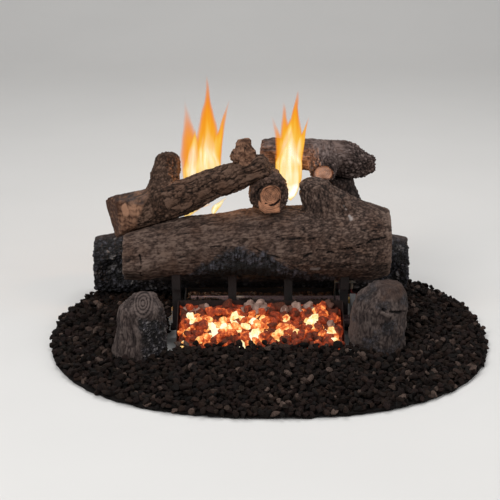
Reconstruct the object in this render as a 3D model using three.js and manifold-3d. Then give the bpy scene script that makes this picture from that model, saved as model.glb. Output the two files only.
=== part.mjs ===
// Gas log set: seven cast refractory logs stacked on a steel grate, a tray of embers with its
// burner, a flame burner with its gas train, and the bed of lava granules that the set stands in.
// Millimetres, +Z up, +Y to the back. The origin is on the floor, at the middle of the granule bed.
import * as THREE from 'three';
import { mergeVertices } from 'three/addons/utils/BufferGeometryUtils.js';
import Module from 'manifold-3d';

const wasm = await Module();
wasm.setup();

// Gaps, cuts and the place of the set on its bed.
const gap = 0.3; // air between two pieces that rest on each other
const overrun = 6; // how far a cutter runs past the face that it opens
const set = { x: -17, y: 137 }; // the set's own zero, between its two big logs, as seen from the bed's middle

// Steel grate: floor rails, bars that run under the rear log and rise to the front log, pins.
const bar = { count: 4, pitch: 109, width: 16, thickness: 11, depth: 14, riserY: -95, backY: 130 };
const rail = { overhang: 4.5, valveEnd: 24, width: 22, thickness: 6, backY: 108 };
const saddle = { length: 62, thickness: 12, shift: 14 };
const pin = { diameter: 8, height: 20, bore: 8.8 };

// Big logs. Each is a limb between two points, with its stations as shares of length and radius.
const frontLog = { leftX: -265, rightX: 250, y: -75, z: 176, radius: 76 };
const frontLogShares = {
  along: [0, 0.08, 0.17, 0.31, 0.46, 0.6, 0.74, 0.88, 0.96, 1],
  rise: [-0.41, -0.35, -0.25, -0.15, -0.08, -0.05, -0.02, 0, 0, -0.01],
  sway: [0.06, 0.04, 0, -0.03, 0, 0.03, 0, -0.02, 0, 0],
  radius: [0.58, 0.66, 0.71, 0.78, 0.86, 0.93, 0.98, 1, 0.98, 0.86],
};
const hump = {
  baseX: 148, tipX: 103, tipY: -66, height: 285, baseRadius: 54, tipRadius: 32, crown: 30,
  shoulderX: 210, shoulderZ: 188, shoulderRadius: 58, shoulderTip: 36, shoulderDrop: 21,
};
const charHollow = { x: -18, y: -92, z: 88, halfLength: 84, halfWidth: 62, halfHeight: 37 };
const knotPit = { x: -33, y: -141, z: 196, radius: 13 };
const crack = { length: 92, width: 5, depth: 26 };
const rearLog = { leftX: -337, rightX: 302, y: 75, z: 78, radius: 61 };
const rearLogShares = {
  along: [0, 0.06, 0.2, 0.38, 0.54, 0.7, 0.86, 0.95, 1],
  rise: [-0.02, 0, 0.02, -0.02, 0, 0.03, 0, -0.02, -0.04],
  sway: [0.05, 0, -0.06, 0, 0.05, 0, -0.05, 0, 0.04],
  radius: [0.9, 1, 1.03, 0.98, 1, 1.03, 1, 0.96, 0.84],
};
const knob = { x: 15, leanX: 3, height: 229, baseRadius: 44, tipRadius: 32 };
const rearLimb = { footX: 207, tipX: 142, height: 285, baseRadius: 46, tipRadius: 33 };
const charFace = { width: 46, depth: 9 };

// Top logs and stumps.
const centreLog = { x: 18, frontY: -112, frontZ: 279, backY: 96, backZ: 252, radius: 36 };
const centreLogShares = {
  along: [0, 0.25, 0.55, 0.8, 1], rise: [0, 0.03, -0.03, 0.02, 0],
  sway: [0, -0.05, -0.04, 0.03, 0], radius: [0.98, 1.03, 0.98, 0.95, 0.88],
};
const heart = { shiftX: 4, shiftZ: -5, radius: 23, recess: 3.5 };
const topLeftLog = { leftX: -266, leftY: -24, leftZ: 213, rightX: 12, rightY: -83, rightZ: 331, radius: 40 };
const topLeftLogShares = {
  along: [0, 0.14, 0.32, 0.5, 0.68, 0.85, 1], rise: [0, -0.02, -0.14, -0.08, 0, 0.04, 0],
  sway: [0, 0, 0.05, 0, -0.05, 0, 0], radius: [0.99, 0.98, 0.95, 0.83, 0.69, 0.62, 0.57],
};
const topLeftSeat = { toX: -100, normalShares: [-0.23, 0.53, 0.85] };
const hewnEnd = { x: -288, z: 214, faceX: -263, faceY: -56 };
const fork = {
  footX: -190, tipX: -181, tipY: 16, tipZ: 316, baseRadius: 38, tipRadius: 25, crown: 23,
};
const branchStub = {
  footX: -22, tipX: -33, tipY: -66, tipZ: 378, baseRadius: 27, tipRadius: 13, knuckle: 15, reach: 0.6,
};
const rearTopLog = { leftX: 2, rightX: 232, leftY: 80, rightY: 64, leftZ: 310, rightZ: 298, radius: 31 };
const rearTopLogShares = {
  along: [0, 0.2, 0.4, 0.6, 0.76, 0.9, 1], rise: [0, 0.04, -0.02, 0.03, -0.08, -0.28, -0.32],
  sway: [0, 0.05, 0, -0.04, 0.04, 0, 0], radius: [0.82, 0.9, 0.96, 1.1, 1.22, 0.86, 0.45],
};
const sawnStub = { x: 124, tipY: 13, tipZ: 284, baseRadius: 33, tipRadius: 25, heart: 19, recess: 2.5 };
const stump = {
  left: { x: -222, y: -232, height: 124, radius: 48 },
  right: { x: 223, y: -198, height: 134, radius: 53 },
};
const stumpClear = 2; // from the right stump's flat back to the way down past the front log
const stumpShares = {
  left: {
    along: [0, 0.3, 0.6, 0.84, 1], rise: [0, 0, 0, 0, 0], sway: [0.12, 0.02, 0, -0.04, -0.1],
    radius: [1.1, 0.99, 0.95, 0.83, 0.46],
  },
  right: {
    along: [0, 0.3, 0.62, 0.84, 1], rise: [0, 0, 0, 0, 0], sway: [0, 0, -0.03, -0.12, -0.26],
    radius: [1, 1, 0.98, 0.86, 0.5],
  },
};
const ringKnot = { radius: 18, ringWidth: 4.5, proud: 2.6, depth: 20, shiftX: 5, outY: -25, fromTop: 13 };
const bark = { furrow: 3, knuckle: 3, wornEdge: 4 };

// Granule bed and the heaps of embers and granules in the trays.
const bed = {
  width: 846, depth: 736, rim: 8, middle: 29, lump: 9, squareness: 2.3, seat: 8, seatAir: 1.5,
};
const well = { air: 4, frontAir: 2.4 };
const valveBay = { sideAir: 3.3, frontAir: 6, inletAir: 17.7 };
const ember = { size: 12, frontHeight: 23, backHeight: 61, grain: 7, floorGap: 0.4, chunks: 13 };
const granule = { height: 17, grain: 4 };

// Ember tray, flame pan and their burners.
const sheet = 1.5;
const emberTray = { width: 320, frontY: -238, railAir: 2, lip: 15, wall: 64 };
const emberBurner = { fromBack: 12, fromFront: 46, fromSide: 22, z: 24, pipe: 16, bore: 13, crossX: 92 };
const flamePan = { width: 300, frontY: -70, backY: 8, height: 24 };
const flameBurner = { rise: 13, pipe: 18, bore: 15, fromSide: 12 };
const port = { length: 14, width: 2, pitch: 34 };
const shutter = { length: 11, wall: 1.2, fit: 0.4, tab: 5, trayAir: 1.5 };
const mixer = { beyondShutter: 1.5, windowLength: 8 };
const injector = { hex: 12, hexLength: 5, nozzle: 6, nozzleLength: 9, bore: 2, mixerAir: 0.7 };

// Gas train under the right end of the front log.
const manifold = { width: 12, height: 27, beyondEmber: 11, beyondFlame: 13, stub: 12, stubLength: 6 };
const valve = { width: 48, frontY: -110, depth: 46, height: 40, boss: 20, bossLength: 4 };
const bracket = {
  sheet: 2, air: 0.8, height: 56, igniterEdge: 13, valveEdge: 8, collarAir: 1,
  screw: 8, head: 3, screwEdge: 6.2, screwPitch: 13,
};
const stem = { rise: 24.4, diameter: 6, flat: 1, length: 20, collar: 12, collarLength: 2.4, travel: 3 };
const plunger = { length: 6 };
const knobWheel = { diameter: 31, skirt: 34, height: 13, skirtHeight: 3, grip: 3, ribs: 8, stand: 4.2 };
const igniter = {
  fromValve: 11, barrel: 14, length: 34, flange: 18, flangeLength: 2, nut: 15.5, nutLength: 4,
};
const button = { diameter: 9, head: 11, headLength: 4, stroke: 5, stand: 6 };
const regulator = {
  fromLeft: 30, behindValve: 24, diameter: 36, height: 30, cap: 26, capHeight: 6, vent: 5, neck: 14,
};
const inlet = { hex: 17, hexLength: 12, nose: 14, noseLength: 13, bore: 8 };

// Pilot at the right end of the flame pan, and the leads that run to it.
const pilotBracket = { sheet: 1.5, halfWidth: 9, shelfZ: 62, below: 16, edge: 7.5, fromPanBack: 7 };
const pilot = { fromPan: 11, diameter: 10, above: 17, hood: 13, hoodHeight: 9, flange: 1.8, slot: 5 };
const thermocouple = { fromPilot: 12, diameter: 6, above: 26, nut: 8, nutHeight: 6 };
const electrode = { fromThermocouple: 11.5, diameter: 7, above: 14, wire: 2, wireReach: 12 };
const lead = { pilotTube: 4, thermocouple: 2.6, ignition: 3.2, sides: 8 };

// Places that follow from those sizes, from the floor up and then along X.
const barsHalf = ((bar.count - 1) * bar.pitch + bar.width) / 2;
rail.length = 2 * (barsHalf + rail.overhang);
rail.frontY = bar.riserY;
const barLow = rail.thickness + gap;
const barTop = barLow + bar.depth;
const flamePanFloor = barTop + gap;
const shelfTop = rail.thickness + gap + bracket.sheet;
const valveLow = shelfTop + gap;
emberTray.backY = rail.frontY - rail.width / 2 - emberTray.railAir;
emberBurner.y = emberTray.backY - emberBurner.fromBack;
emberBurner.frontY = emberTray.frontY + emberBurner.fromFront;
emberBurner.halfLength = emberTray.width / 2 - emberBurner.fromSide;
flameBurner.y = (flamePan.frontY + flamePan.backY) / 2;
flameBurner.z = flamePanFloor + flameBurner.rise;
flameBurner.halfLength = flamePan.width / 2 - flameBurner.fromSide;
shutter.centreX = Math.max(emberTray.width, flamePan.width) / 2 + shutter.trayAir + shutter.length / 2;
mixer.endX = shutter.centreX + shutter.length / 2 + mixer.beyondShutter;
manifold.x = mixer.endX + injector.mixerAir + injector.hexLength + gap + manifold.width / 2;
manifold.z = (emberBurner.z + flameBurner.z) / 2;
manifold.frontY = emberBurner.y - manifold.beyondEmber;
manifold.backY = flameBurner.y + manifold.beyondFlame;
valve.leftX = manifold.x + manifold.width / 2 + manifold.stubLength;
valve.rightX = valve.leftX + valve.width;
valve.backY = valve.frontY + valve.depth;
stem.y = (valve.frontY + valve.backY) / 2;
stem.z = valveLow + stem.rise;
igniter.y = valve.frontY - igniter.fromValve;
bracket.leftX = barsHalf + bracket.air;
bracket.rightX = valve.rightX + stem.travel + gap + stem.collarLength + bracket.air;
bracket.frontY = igniter.y - bracket.igniterEdge;
bracket.backY = valve.backY + bracket.valveEdge;
bracket.screwX = bracket.leftX + bracket.screwEdge;
regulator.x = valve.leftX + regulator.fromLeft;
regulator.y = valve.backY + regulator.behindValve;
inlet.startY = regulator.y + regulator.diameter / 2 + regulator.vent + gap;
pilot.x = flamePan.width / 2 + pilot.fromPan;
thermocouple.x = pilot.x + thermocouple.fromPilot;
electrode.x = thermocouple.x + electrode.fromThermocouple;
pilotBracket.shelfX = electrode.x + pilotBracket.edge;
for (const piece of [pilot, thermocouple, electrode]) {
  piece.y = flamePan.backY - pilotBracket.fromPanBack;
  piece.foot = pilotBracket.shelfZ - pilotBracket.below;
  piece.top = pilotBracket.shelfZ + piece.above;
}
well.halfWidth = Math.max(rail.length, emberTray.width) / 2 + well.air;
well.frontY = emberTray.frontY - well.frontAir;
well.backY = bar.backY + well.air;
valveBay.rightX = bracket.rightX + knobWheel.stand + knobWheel.height + knobWheel.grip + valveBay.sideAir;
valveBay.frontY = bracket.frontY - valveBay.frontAir;
valveBay.backY = inlet.startY + inlet.hexLength + inlet.noseLength + valveBay.inletAir;

// Looks.
const finish = {
  bark: new THREE.MeshStandardMaterial({ color: 0x5a4a40, roughness: 0.95, metalness: 0 }),
  barkDark: new THREE.MeshStandardMaterial({ color: 0x3d332d, roughness: 0.95, metalness: 0 }),
  ember: new THREE.MeshStandardMaterial({ color: 0xe8701c, roughness: 0.9, metalness: 0 }),
  granule: new THREE.MeshStandardMaterial({ color: 0x3a2f2b, roughness: 0.95, metalness: 0 }),
  lava: new THREE.MeshStandardMaterial({ color: 0x352a27, roughness: 0.95, metalness: 0 }),
  blackSteel: new THREE.MeshStandardMaterial({ color: 0x1c1b1b, roughness: 0.6, metalness: 0.6 }),
  panSteel: new THREE.MeshStandardMaterial({ color: 0x4a4643, roughness: 0.5, metalness: 0.8 }),
  stainless: new THREE.MeshStandardMaterial({ color: 0xa8a6a2, roughness: 0.35, metalness: 0.9 }),
  brass: new THREE.MeshStandardMaterial({ color: 0xb08d4a, roughness: 0.35, metalness: 0.9 }),
  aluminium: new THREE.MeshStandardMaterial({ color: 0x9b9c9d, roughness: 0.45, metalness: 0.8 }),
  blackPlastic: new THREE.MeshStandardMaterial({ color: 0x151515, roughness: 0.5, metalness: 0 }),
  redPlastic: new THREE.MeshStandardMaterial({ color: 0x9c1f1a, roughness: 0.45, metalness: 0 }),
  ceramic: new THREE.MeshStandardMaterial({ color: 0xe6e0d4, roughness: 0.5, metalness: 0 }),
  copper: new THREE.MeshStandardMaterial({ color: 0xa8623c, roughness: 0.4, metalness: 0.9 }),
};

const at = (x, y, z) => new THREE.Vector3(x, y, z);
const pile = new THREE.Group();
pile.position.set(set.x, set.y, 0);

// Solids from closed geometry, and back.
function solidOf(geometry) {
  const bare = new THREE.BufferGeometry();
  bare.setAttribute('position', geometry.getAttribute('position').clone());
  if (geometry.index) bare.setIndex(geometry.index.clone());
  const merged = mergeVertices(bare);
  const corners = merged.getAttribute('position');
  const faces = Uint32Array.from(merged.index.array);
  let volume = 0;
  const [a, b, c] = [at(0, 0, 0), at(0, 0, 0), at(0, 0, 0)];
  for (let f = 0; f < faces.length; f += 3) {
    a.fromBufferAttribute(corners, faces[f]);
    b.fromBufferAttribute(corners, faces[f + 1]);
    c.fromBufferAttribute(corners, faces[f + 2]);
    volume += a.dot(b.cross(c));
  }
  if (volume < 0) faces.reverse();
  return new wasm.Manifold(new wasm.Mesh({
    numProp: 3,
    vertProperties: Float32Array.from(corners.array),
    triVerts: faces,
  }));
}

function geometryOf(solid) {
  const mesh = solid.getMesh();
  const geometry = new THREE.BufferGeometry();
  geometry.setAttribute('position', new THREE.BufferAttribute(mesh.vertProperties, 3));
  geometry.setIndex(new THREE.BufferAttribute(mesh.triVerts, 1));
  geometry.computeVertexNormals();
  return geometry;
}

function add(name, solid, material) {
  const mesh = new THREE.Mesh(geometryOf(solid), material);
  mesh.name = name;
  pile.add(mesh);
  return mesh;
}

// Plain shapes, each placed by its own middle or by its two ends.
function block(from, to) {
  const size = to.clone().sub(from);
  const middle = from.clone().add(to).multiplyScalar(0.5);
  const geometry = new THREE.BoxGeometry(size.x, size.y, size.z);
  geometry.translate(middle.x, middle.y, middle.z);
  return solidOf(geometry);
}

function rod(from, to, diameter, sides = 12, endDiameter = diameter) {
  const axis = to.clone().sub(from);
  const geometry = new THREE.CylinderGeometry(endDiameter / 2, diameter / 2, axis.length(), sides);
  const turn = new THREE.Quaternion().setFromUnitVectors(at(0, 1, 0), axis.clone().normalize());
  const middle = from.clone().add(to).multiplyScalar(0.5);
  geometry.applyQuaternion(turn);
  geometry.translate(middle.x, middle.y, middle.z);
  return solidOf(geometry);
}

// An outline in (Y, Z), pulled along X between two places.
function profileAlongX(outline, fromX, toX) {
  const shape = new THREE.Shape(outline);
  const geometry = new THREE.ExtrudeGeometry(shape, { depth: toX - fromX, bevelEnabled: false });
  geometry.applyMatrix4(new THREE.Matrix4().makeBasis(at(0, 1, 0), at(0, 0, 1), at(1, 0, 0)));
  geometry.translate(fromX, 0, 0);
  return solidOf(geometry);
}

function lump(centre, halfX, halfY, halfZ) {
  const geometry = new THREE.SphereGeometry(1, 12, 7);
  geometry.scale(halfX, halfY, halfZ);
  geometry.translate(centre.x, centre.y, centre.z);
  return solidOf(geometry);
}

// Logs.

// A value along a table of shares, read smoothly between its stations.
function between(stations, values, along) {
  let k = 0;
  while (k < stations.length - 2 && along > stations[k + 1]) k += 1;
  const t = THREE.MathUtils.clamp((along - stations[k]) / (stations[k + 1] - stations[k]), 0, 1);
  return THREE.MathUtils.lerp(values[k], values[k + 1], t * t * (3 - 2 * t));
}

// Furrows run with the grain and wander round the limb; knuckles are the slower swellings.
function barkHeight(angle, along, seed) {
  const wander = 0.35 * Math.sin(along * 7 + seed);
  const fine = Math.sin(7 * (angle + wander) + seed);
  const coarse = Math.sin(5 * (angle - wander) + 2 * seed);
  const knuckle = Math.sin(2 * angle + 9 * along + seed) * Math.cos(11 * along - angle + 3 * seed);
  return bark.furrow * (0.55 * fine + 0.45 * coarse) + bark.knuckle * knuckle;
}

/**
 * A limb from one point to another. The shares say how it rises, sways and swells on the way:
 * rise is across it in the plane of `up`, sway is square to that, both as shares of the radius.
 */
function limb({
  from, to, radius, shares, up = at(0, 0, 1), sides = 24, rings = 18, seed = 1, grow = 0, rough = 1,
}) {
  const axis = to.clone().sub(from);
  const length = axis.length();
  axis.normalize();
  const across = at(0, 0, 0).crossVectors(axis, up).normalize();
  const rise = at(0, 0, 0).crossVectors(across, axis);
  const corners = [];
  const faces = [];
  const ends = [];
  const worn = Math.min(bark.wornEdge / length, 0.1);
  const steps = [0, worn];
  for (let k = 1; k < rings; k += 1) steps.push(worn + (1 - 2 * worn) * k / rings);
  steps.push(1 - worn, 1);
  for (const along of steps) {
    const reach = along * (length + 2 * grow) - grow;
    const middle = from.clone().addScaledVector(axis, reach);
    middle.addScaledVector(rise, radius * between(shares.along, shares.rise, along));
    middle.addScaledVector(across, radius * between(shares.along, shares.sway, along));
    const edge = along === 0 || along === 1 ? bark.wornEdge * 0.6 : 0;
    const thick = radius * between(shares.along, shares.radius, along) - edge + grow;
    for (let k = 0; k < sides; k += 1) {
      const angle = 2 * Math.PI * k / sides;
      const here = thick + rough * barkHeight(angle, along, seed);
      const point = middle.clone();
      point.addScaledVector(across, here * Math.cos(angle)).addScaledVector(rise, here * Math.sin(angle));
      corners.push(point.x, point.y, point.z);
    }
    ends.push(middle);
  }
  for (let i = 0; i < steps.length - 1; i += 1) {
    for (let k = 0; k < sides; k += 1) {
      const [p, q] = [i * sides + k, i * sides + (k + 1) % sides];
      faces.push(p, q, q + sides, p, q + sides, p + sides);
    }
  }
  const last = (steps.length - 1) * sides;
  const first = corners.length / 3;
  for (const middle of [ends[0], ends[ends.length - 1]]) corners.push(middle.x, middle.y, middle.z);
  for (let k = 0; k < sides; k += 1) {
    faces.push(first, (k + 1) % sides, k);
    faces.push(first + 1, last + k, last + (k + 1) % sides);
  }
  const geometry = new THREE.BufferGeometry();
  geometry.setAttribute('position', new THREE.BufferAttribute(new Float32Array(corners), 3));
  geometry.setIndex(faces);
  return solidOf(geometry);
}

// A short branch that leaves a log: wide at the foot, narrower at the tip.
const taperShares = { along: [0, 0.5, 1], rise: [0, 0, 0], sway: [0, 0, 0] };
function branch({ from, to, baseRadius, tipRadius, up, sides = 16, seed = 1, grow = 0, rough = 0.7 }) {
  const tipShare = tipRadius / baseRadius;
  const shares = { ...taperShares, radius: [1, 0.5 * (1 + tipShare) - 0.05, tipShare] };
  return limb({ from, to, radius: baseRadius, shares, up, sides, rings: 5, seed, grow, rough });
}

function frontLogBody(grow = 0) {
  const { leftX, rightX, y, z, radius } = frontLog;
  const trunk = limb({
    from: at(leftX, y, z), to: at(rightX, y, z), radius, shares: frontLogShares,
    sides: 24, rings: 16, seed: 2, grow,
  });
  const saddleHump = branch({
    from: at(hump.baseX, y, z), to: at(hump.tipX, hump.tipY, hump.height), up: at(0, 1, 0),
    baseRadius: hump.baseRadius, tipRadius: hump.tipRadius, seed: 5, grow,
  });
  const top = at(hump.tipX, hump.tipY, hump.height);
  const crown = hump.crown + grow;
  const shoulder = branch({
    from: at(hump.shoulderX, y, hump.shoulderZ), to: top.clone().setZ(hump.height - hump.shoulderDrop),
    baseRadius: hump.shoulderRadius, tipRadius: hump.shoulderTip, up: at(0, 1, 0), seed: 10, grow,
  });
  return trunk.add(saddleHump).add(shoulder).add(lump(top, crown, crown, crown / 2));
}

function crackCut(x, y, z, length, width, depth, tilt) {
  const shape = new THREE.Shape([
    new THREE.Vector2(-length / 2, 0), new THREE.Vector2(-length / 6, -width / 2),
    new THREE.Vector2(length / 2, 0), new THREE.Vector2(length / 5, width / 2),
  ]);
  const geometry = new THREE.ExtrudeGeometry(shape, { depth, bevelEnabled: false });
  geometry.rotateX(Math.PI / 2);
  geometry.rotateY(tilt);
  geometry.translate(x, y, z);
  return solidOf(geometry);
}

function makeFrontLog() {
  const face = frontLog.y - frontLog.radius + crack.depth / 2;
  let log = frontLogBody();
  log = log.subtract(lump(at(charHollow.x, charHollow.y, charHollow.z),
    charHollow.halfLength, charHollow.halfWidth, charHollow.halfHeight));
  const { radius } = knotPit;
  log = log.subtract(lump(at(knotPit.x, knotPit.y, knotPit.z), radius, radius, radius));
  const cracks = [[0.35, 0.3, 0.8, -0.16], [0.68, 0.12, 1.1, -0.1], [0.72, -0.33, 0.9, 0.05]];
  for (const [alongShare, riseShare, lengthShare, tilt] of cracks) {
    log = log.subtract(crackCut(frontLog.rightX * alongShare, face, frontLog.z + frontLog.radius * riseShare,
      crack.length * lengthShare, crack.width, crack.depth, tilt));
  }
  const shortCrackX = frontLog.leftX + frontLog.radius / 2;
  const slimFace = frontLog.y - frontLog.radius * 0.56 + crack.depth / 3;
  const upright = crackCut(shortCrackX, slimFace, frontLog.z - frontLog.radius * 0.52, crack.length / 2,
    crack.width / 2, crack.depth, Math.PI / 2);
  return log.subtract(upright);
}

function rearLogBody(grow = 0) {
  const { leftX, rightX, y, z, radius } = rearLog;
  const trunk = limb({
    from: at(leftX, y, z), to: at(rightX, y, z), radius, shares: rearLogShares,
    sides: 20, rings: 13, seed: 7, grow,
  });
  const middleKnob = branch({
    from: at(knob.x, y, z), to: at(knob.x + knob.leanX, y, knob.height), up: at(0, 1, 0),
    baseRadius: knob.baseRadius, tipRadius: knob.tipRadius, sides: 12, seed: 3, grow,
  });
  const limbUp = branch({
    from: at(rearLimb.footX, y, z + radius / 4), to: at(rearLimb.tipX, y, rearLimb.height), up: at(0, 1, 0),
    baseRadius: rearLimb.baseRadius, tipRadius: rearLimb.tipRadius, sides: 14, seed: 8, grow, rough: 1,
  });
  return trunk.add(middleKnob).add(limbUp.trimByPlane([0, 0, -1], -(rearSeatZ + grow)));
}

function makeRearLog() {
  let log = rearLogBody();
  for (const [endX, inward] of [[rearLog.leftX, 1], [rearLog.rightX, -1]]) {
    const x = endX + inward * (charFace.width + overrun);
    const front = rearLog.y - rearLog.radius;
    log = log.subtract(lump(at(x, front, rearLog.z - charFace.depth), charFace.width, charFace.depth * 2.2,
      rearLog.radius * 0.72));
  }
  return log;
}

function centreLogBody(grow = 0) {
  const { x, frontY, frontZ, backY, backZ, radius } = centreLog;
  return limb({
    from: at(x, frontY, frontZ), to: at(x, backY, backZ), radius, shares: centreLogShares,
    sides: 18, rings: 7, seed: 4, grow,
  });
}

// A sawn end: the heart lies a little below the bark that rings it.
function heartCut(centre, outward, radius, recess) {
  const from = centre.clone().addScaledVector(outward, -recess);
  return rod(from, centre.clone().addScaledVector(outward, overrun), 2 * radius, 12);
}

function makeCentreLog() {
  const front = at(centreLog.x, centreLog.frontY, centreLog.frontZ);
  const outward = front.clone().sub(at(centreLog.x, centreLog.backY, centreLog.backZ)).normalize();
  const middle = front.clone().add(at(heart.shiftX, 0, heart.shiftZ));
  return centreLogBody().subtract(heartCut(middle, outward, heart.radius, heart.recess));
}

// The top left log's two hewn faces are cut by blocks that lie past them.
function hewnCut(through, outward, size) {
  const geometry = new THREE.BoxGeometry(size, size, size);
  geometry.translate(0, size / 2, 0);
  geometry.applyQuaternion(new THREE.Quaternion().setFromUnitVectors(at(0, 1, 0), outward.normalize()));
  geometry.translate(through.x, through.y, through.z);
  return solidOf(geometry);
}

function makeTopLeftLog() {
  const log = topLeftLog;
  const foot = at(log.leftX, log.leftY, log.leftZ);
  const head = at(log.rightX, log.rightY, log.rightZ);
  const onAxis = (x) => foot.clone().lerp(head, (x - log.leftX) / (log.rightX - log.leftX));
  const overlong = foot.clone().lerp(head, -log.radius / foot.distanceTo(head));
  const trunk = limb({
    from: overlong, to: head, radius: log.radius, shares: topLeftLogShares, sides: 20, rings: 12, seed: 6,
  });
  const forkLimb = branch({
    from: onAxis(fork.footX), to: at(fork.tipX, fork.tipY, fork.tipZ), up: at(1, 0, 0),
    baseRadius: fork.baseRadius, tipRadius: fork.tipRadius, sides: 14, seed: 9,
  });
  const stubTip = at(branchStub.tipX, branchStub.tipY, branchStub.tipZ);
  const stubFoot = onAxis(branchStub.footX);
  const stubLimb = branch({
    from: stubFoot, to: stubTip, up: at(1, 0, 0), baseRadius: branchStub.baseRadius,
    tipRadius: branchStub.tipRadius, sides: 10, seed: 11, rough: 1,
  });
  const side = stubFoot.clone().lerp(stubTip, 0.5);
  side.add(at(-branchStub.baseRadius * branchStub.reach, -branchStub.tipRadius / 3, 0));
  const knuckle = lump(side, branchStub.knuckle, branchStub.knuckle, branchStub.knuckle);
  const past = 4 * log.radius;
  const forkCrown = lump(at(fork.tipX, fork.tipY, fork.tipZ), fork.crown, fork.crown, fork.crown / 2);
  const leftFace = hewnCut(at(hewnEnd.x, log.leftY, hewnEnd.z), at(-0.89, -0.44, -0.1), past);
  const frontFace = hewnCut(at(hewnEnd.faceX, hewnEnd.faceY, hewnEnd.z), at(-0.5, -0.86, 0.05), past);
  const branches = forkLimb.add(forkCrown).add(stubLimb).add(knuckle);
  return trunk.add(branches).subtract(leftFace).subtract(frontFace);
}

function rearTopLogBody() {
  const log = rearTopLog;
  const left = at(log.leftX, log.leftY, log.leftZ);
  const right = at(log.rightX, log.rightY, log.rightZ);
  const trunk = limb({
    from: left, to: right, radius: log.radius, shares: rearTopLogShares, sides: 18, rings: 11, seed: 12,
  });
  const foot = left.clone().lerp(right, (sawnStub.x - log.leftX) / (log.rightX - log.leftX));
  const tip = at(sawnStub.x, sawnStub.tipY, sawnStub.tipZ);
  const stubLimb = branch({
    from: foot, to: tip, baseRadius: sawnStub.baseRadius, tipRadius: sawnStub.tipRadius,
    sides: 14, seed: 13, rough: 0.5,
  });
  const outward = tip.clone().sub(foot).normalize();
  return trunk.add(stubLimb).subtract(heartCut(tip, outward, sawnStub.heart, sawnStub.recess));
}

// The rear limb is sawn off level, just under the log that lies on it.
function levelUnder(log, x, y, reach) {
  const column = block(at(x - reach, y - reach, 0), at(x + reach, y + reach, 2 * rearLimb.height));
  return log.intersect(column).boundingBox().min[2] - gap;
}

const rearSeatZ = levelUnder(rearTopLogBody(), rearLimb.tipX, rearLog.y, rearLimb.baseRadius);

// The top left log's underside is planed flat where it lies on the front log, just over its highest point.
function planedOntoFront(log) {
  const reach = 2 * frontLog.radius;
  const under = frontLogBody().intersect(block(at(frontLog.leftX - reach, frontLog.y - reach, 0),
    at(topLeftSeat.toX, frontLog.y + reach, frontLog.z + reach))).getMesh();
  const normal = at(...topLeftSeat.normalShares).normalize();
  let highest = -Infinity;
  for (let k = 0; k < under.vertProperties.length; k += under.numProp) {
    highest = Math.max(highest, normal.dot(at(...under.vertProperties.slice(k, k + under.numProp))));
  }
  return log.trimByPlane(normal.toArray(), highest + gap);
}

function makeStump(place, shares, seed) {
  return limb({
    from: at(place.x, place.y, bed.seat), to: at(place.x, place.y, place.height), radius: place.radius,
    shares, up: at(0, 1, 0), sides: 18, rings: 6, seed, rough: 0.8,
  });
}

// The left stump's knot: rings turned round the knot's own axis, sunk into the stump's front.
function knotRings(place) {
  const points = [new THREE.Vector2(0, -ringKnot.depth)];
  points.push(new THREE.Vector2(ringKnot.radius, -ringKnot.depth));
  const rings = Math.floor(ringKnot.radius / ringKnot.ringWidth);
  for (let k = 0; k < rings; k += 1) {
    const outer = ringKnot.radius - k * ringKnot.ringWidth;
    points.push(new THREE.Vector2(outer, 0));
    points.push(new THREE.Vector2(outer - ringKnot.ringWidth / 2, ringKnot.proud));
  }
  points.push(new THREE.Vector2(0, 0));
  const geometry = new THREE.LatheGeometry(points, 12);
  const facing = at(-0.1, -0.88, 0.46).normalize();
  geometry.applyQuaternion(new THREE.Quaternion().setFromUnitVectors(at(0, 1, 0), facing));
  geometry.translate(place.x + ringKnot.shiftX, place.y + ringKnot.outY, place.height - ringKnot.fromTop);
  return solidOf(geometry);
}

// The right stump has a flat back, so that it lifts out in front of the front log.
function behindStump(air = 0) {
  const reach = 3 * stump.right.radius;
  const back = frontLog.y - frontLog.radius - bark.furrow - bark.knuckle - stumpClear + air;
  return block(at(stump.right.x - reach, back, -overrun), at(stump.right.x + reach, back + reach, reach));
}

const makeRightStump = () => makeStump(stump.right, stumpShares.right, 15).subtract(behindStump());

// Loose heaps.

const noise = (a, b) => {
  const wave = Math.sin(a * 127.1 + b * 311.7) * 43758.5453;
  return 2 * (wave - Math.floor(wave)) - 1;
};

// A heap with a bumpy top over a rectangle, and a flat bottom.
function heap({ fromX, toX, fromY, toY, columns, rows, bottom, top }) {
  const corners = [];
  const faces = [];
  for (let j = 0; j <= rows; j += 1) {
    for (let i = 0; i <= columns; i += 1) {
      const inside = i > 0 && i < columns && j > 0 && j < rows ? 1 : 0;
      const x = THREE.MathUtils.lerp(fromX, toX, (i + inside * 0.3 * noise(i, j)) / columns);
      const y = THREE.MathUtils.lerp(fromY, toY, (j + inside * 0.3 * noise(j, i)) / rows);
      corners.push(x, y, top(i / columns, j / rows, noise(i + 3, j + 5)));
    }
  }
  const across = columns + 1;
  for (let j = 0; j < rows; j += 1) {
    for (let i = 0; i < columns; i += 1) {
      const p = j * across + i;
      faces.push(p, p + 1, p + across + 1, p, p + across + 1, p + across);
    }
  }
  const rim = [];
  for (let i = 0; i < columns; i += 1) rim.push(i);
  for (let j = 0; j < rows; j += 1) rim.push(j * across + columns);
  for (let i = columns; i > 0; i -= 1) rim.push(rows * across + i);
  for (let j = rows; j > 0; j -= 1) rim.push(j * across);
  closeBelow(corners, faces, rim, bottom);
  const geometry = new THREE.BufferGeometry();
  geometry.setAttribute('position', new THREE.BufferAttribute(new Float32Array(corners), 3));
  geometry.setIndex(faces);
  return solidOf(geometry);
}

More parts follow.
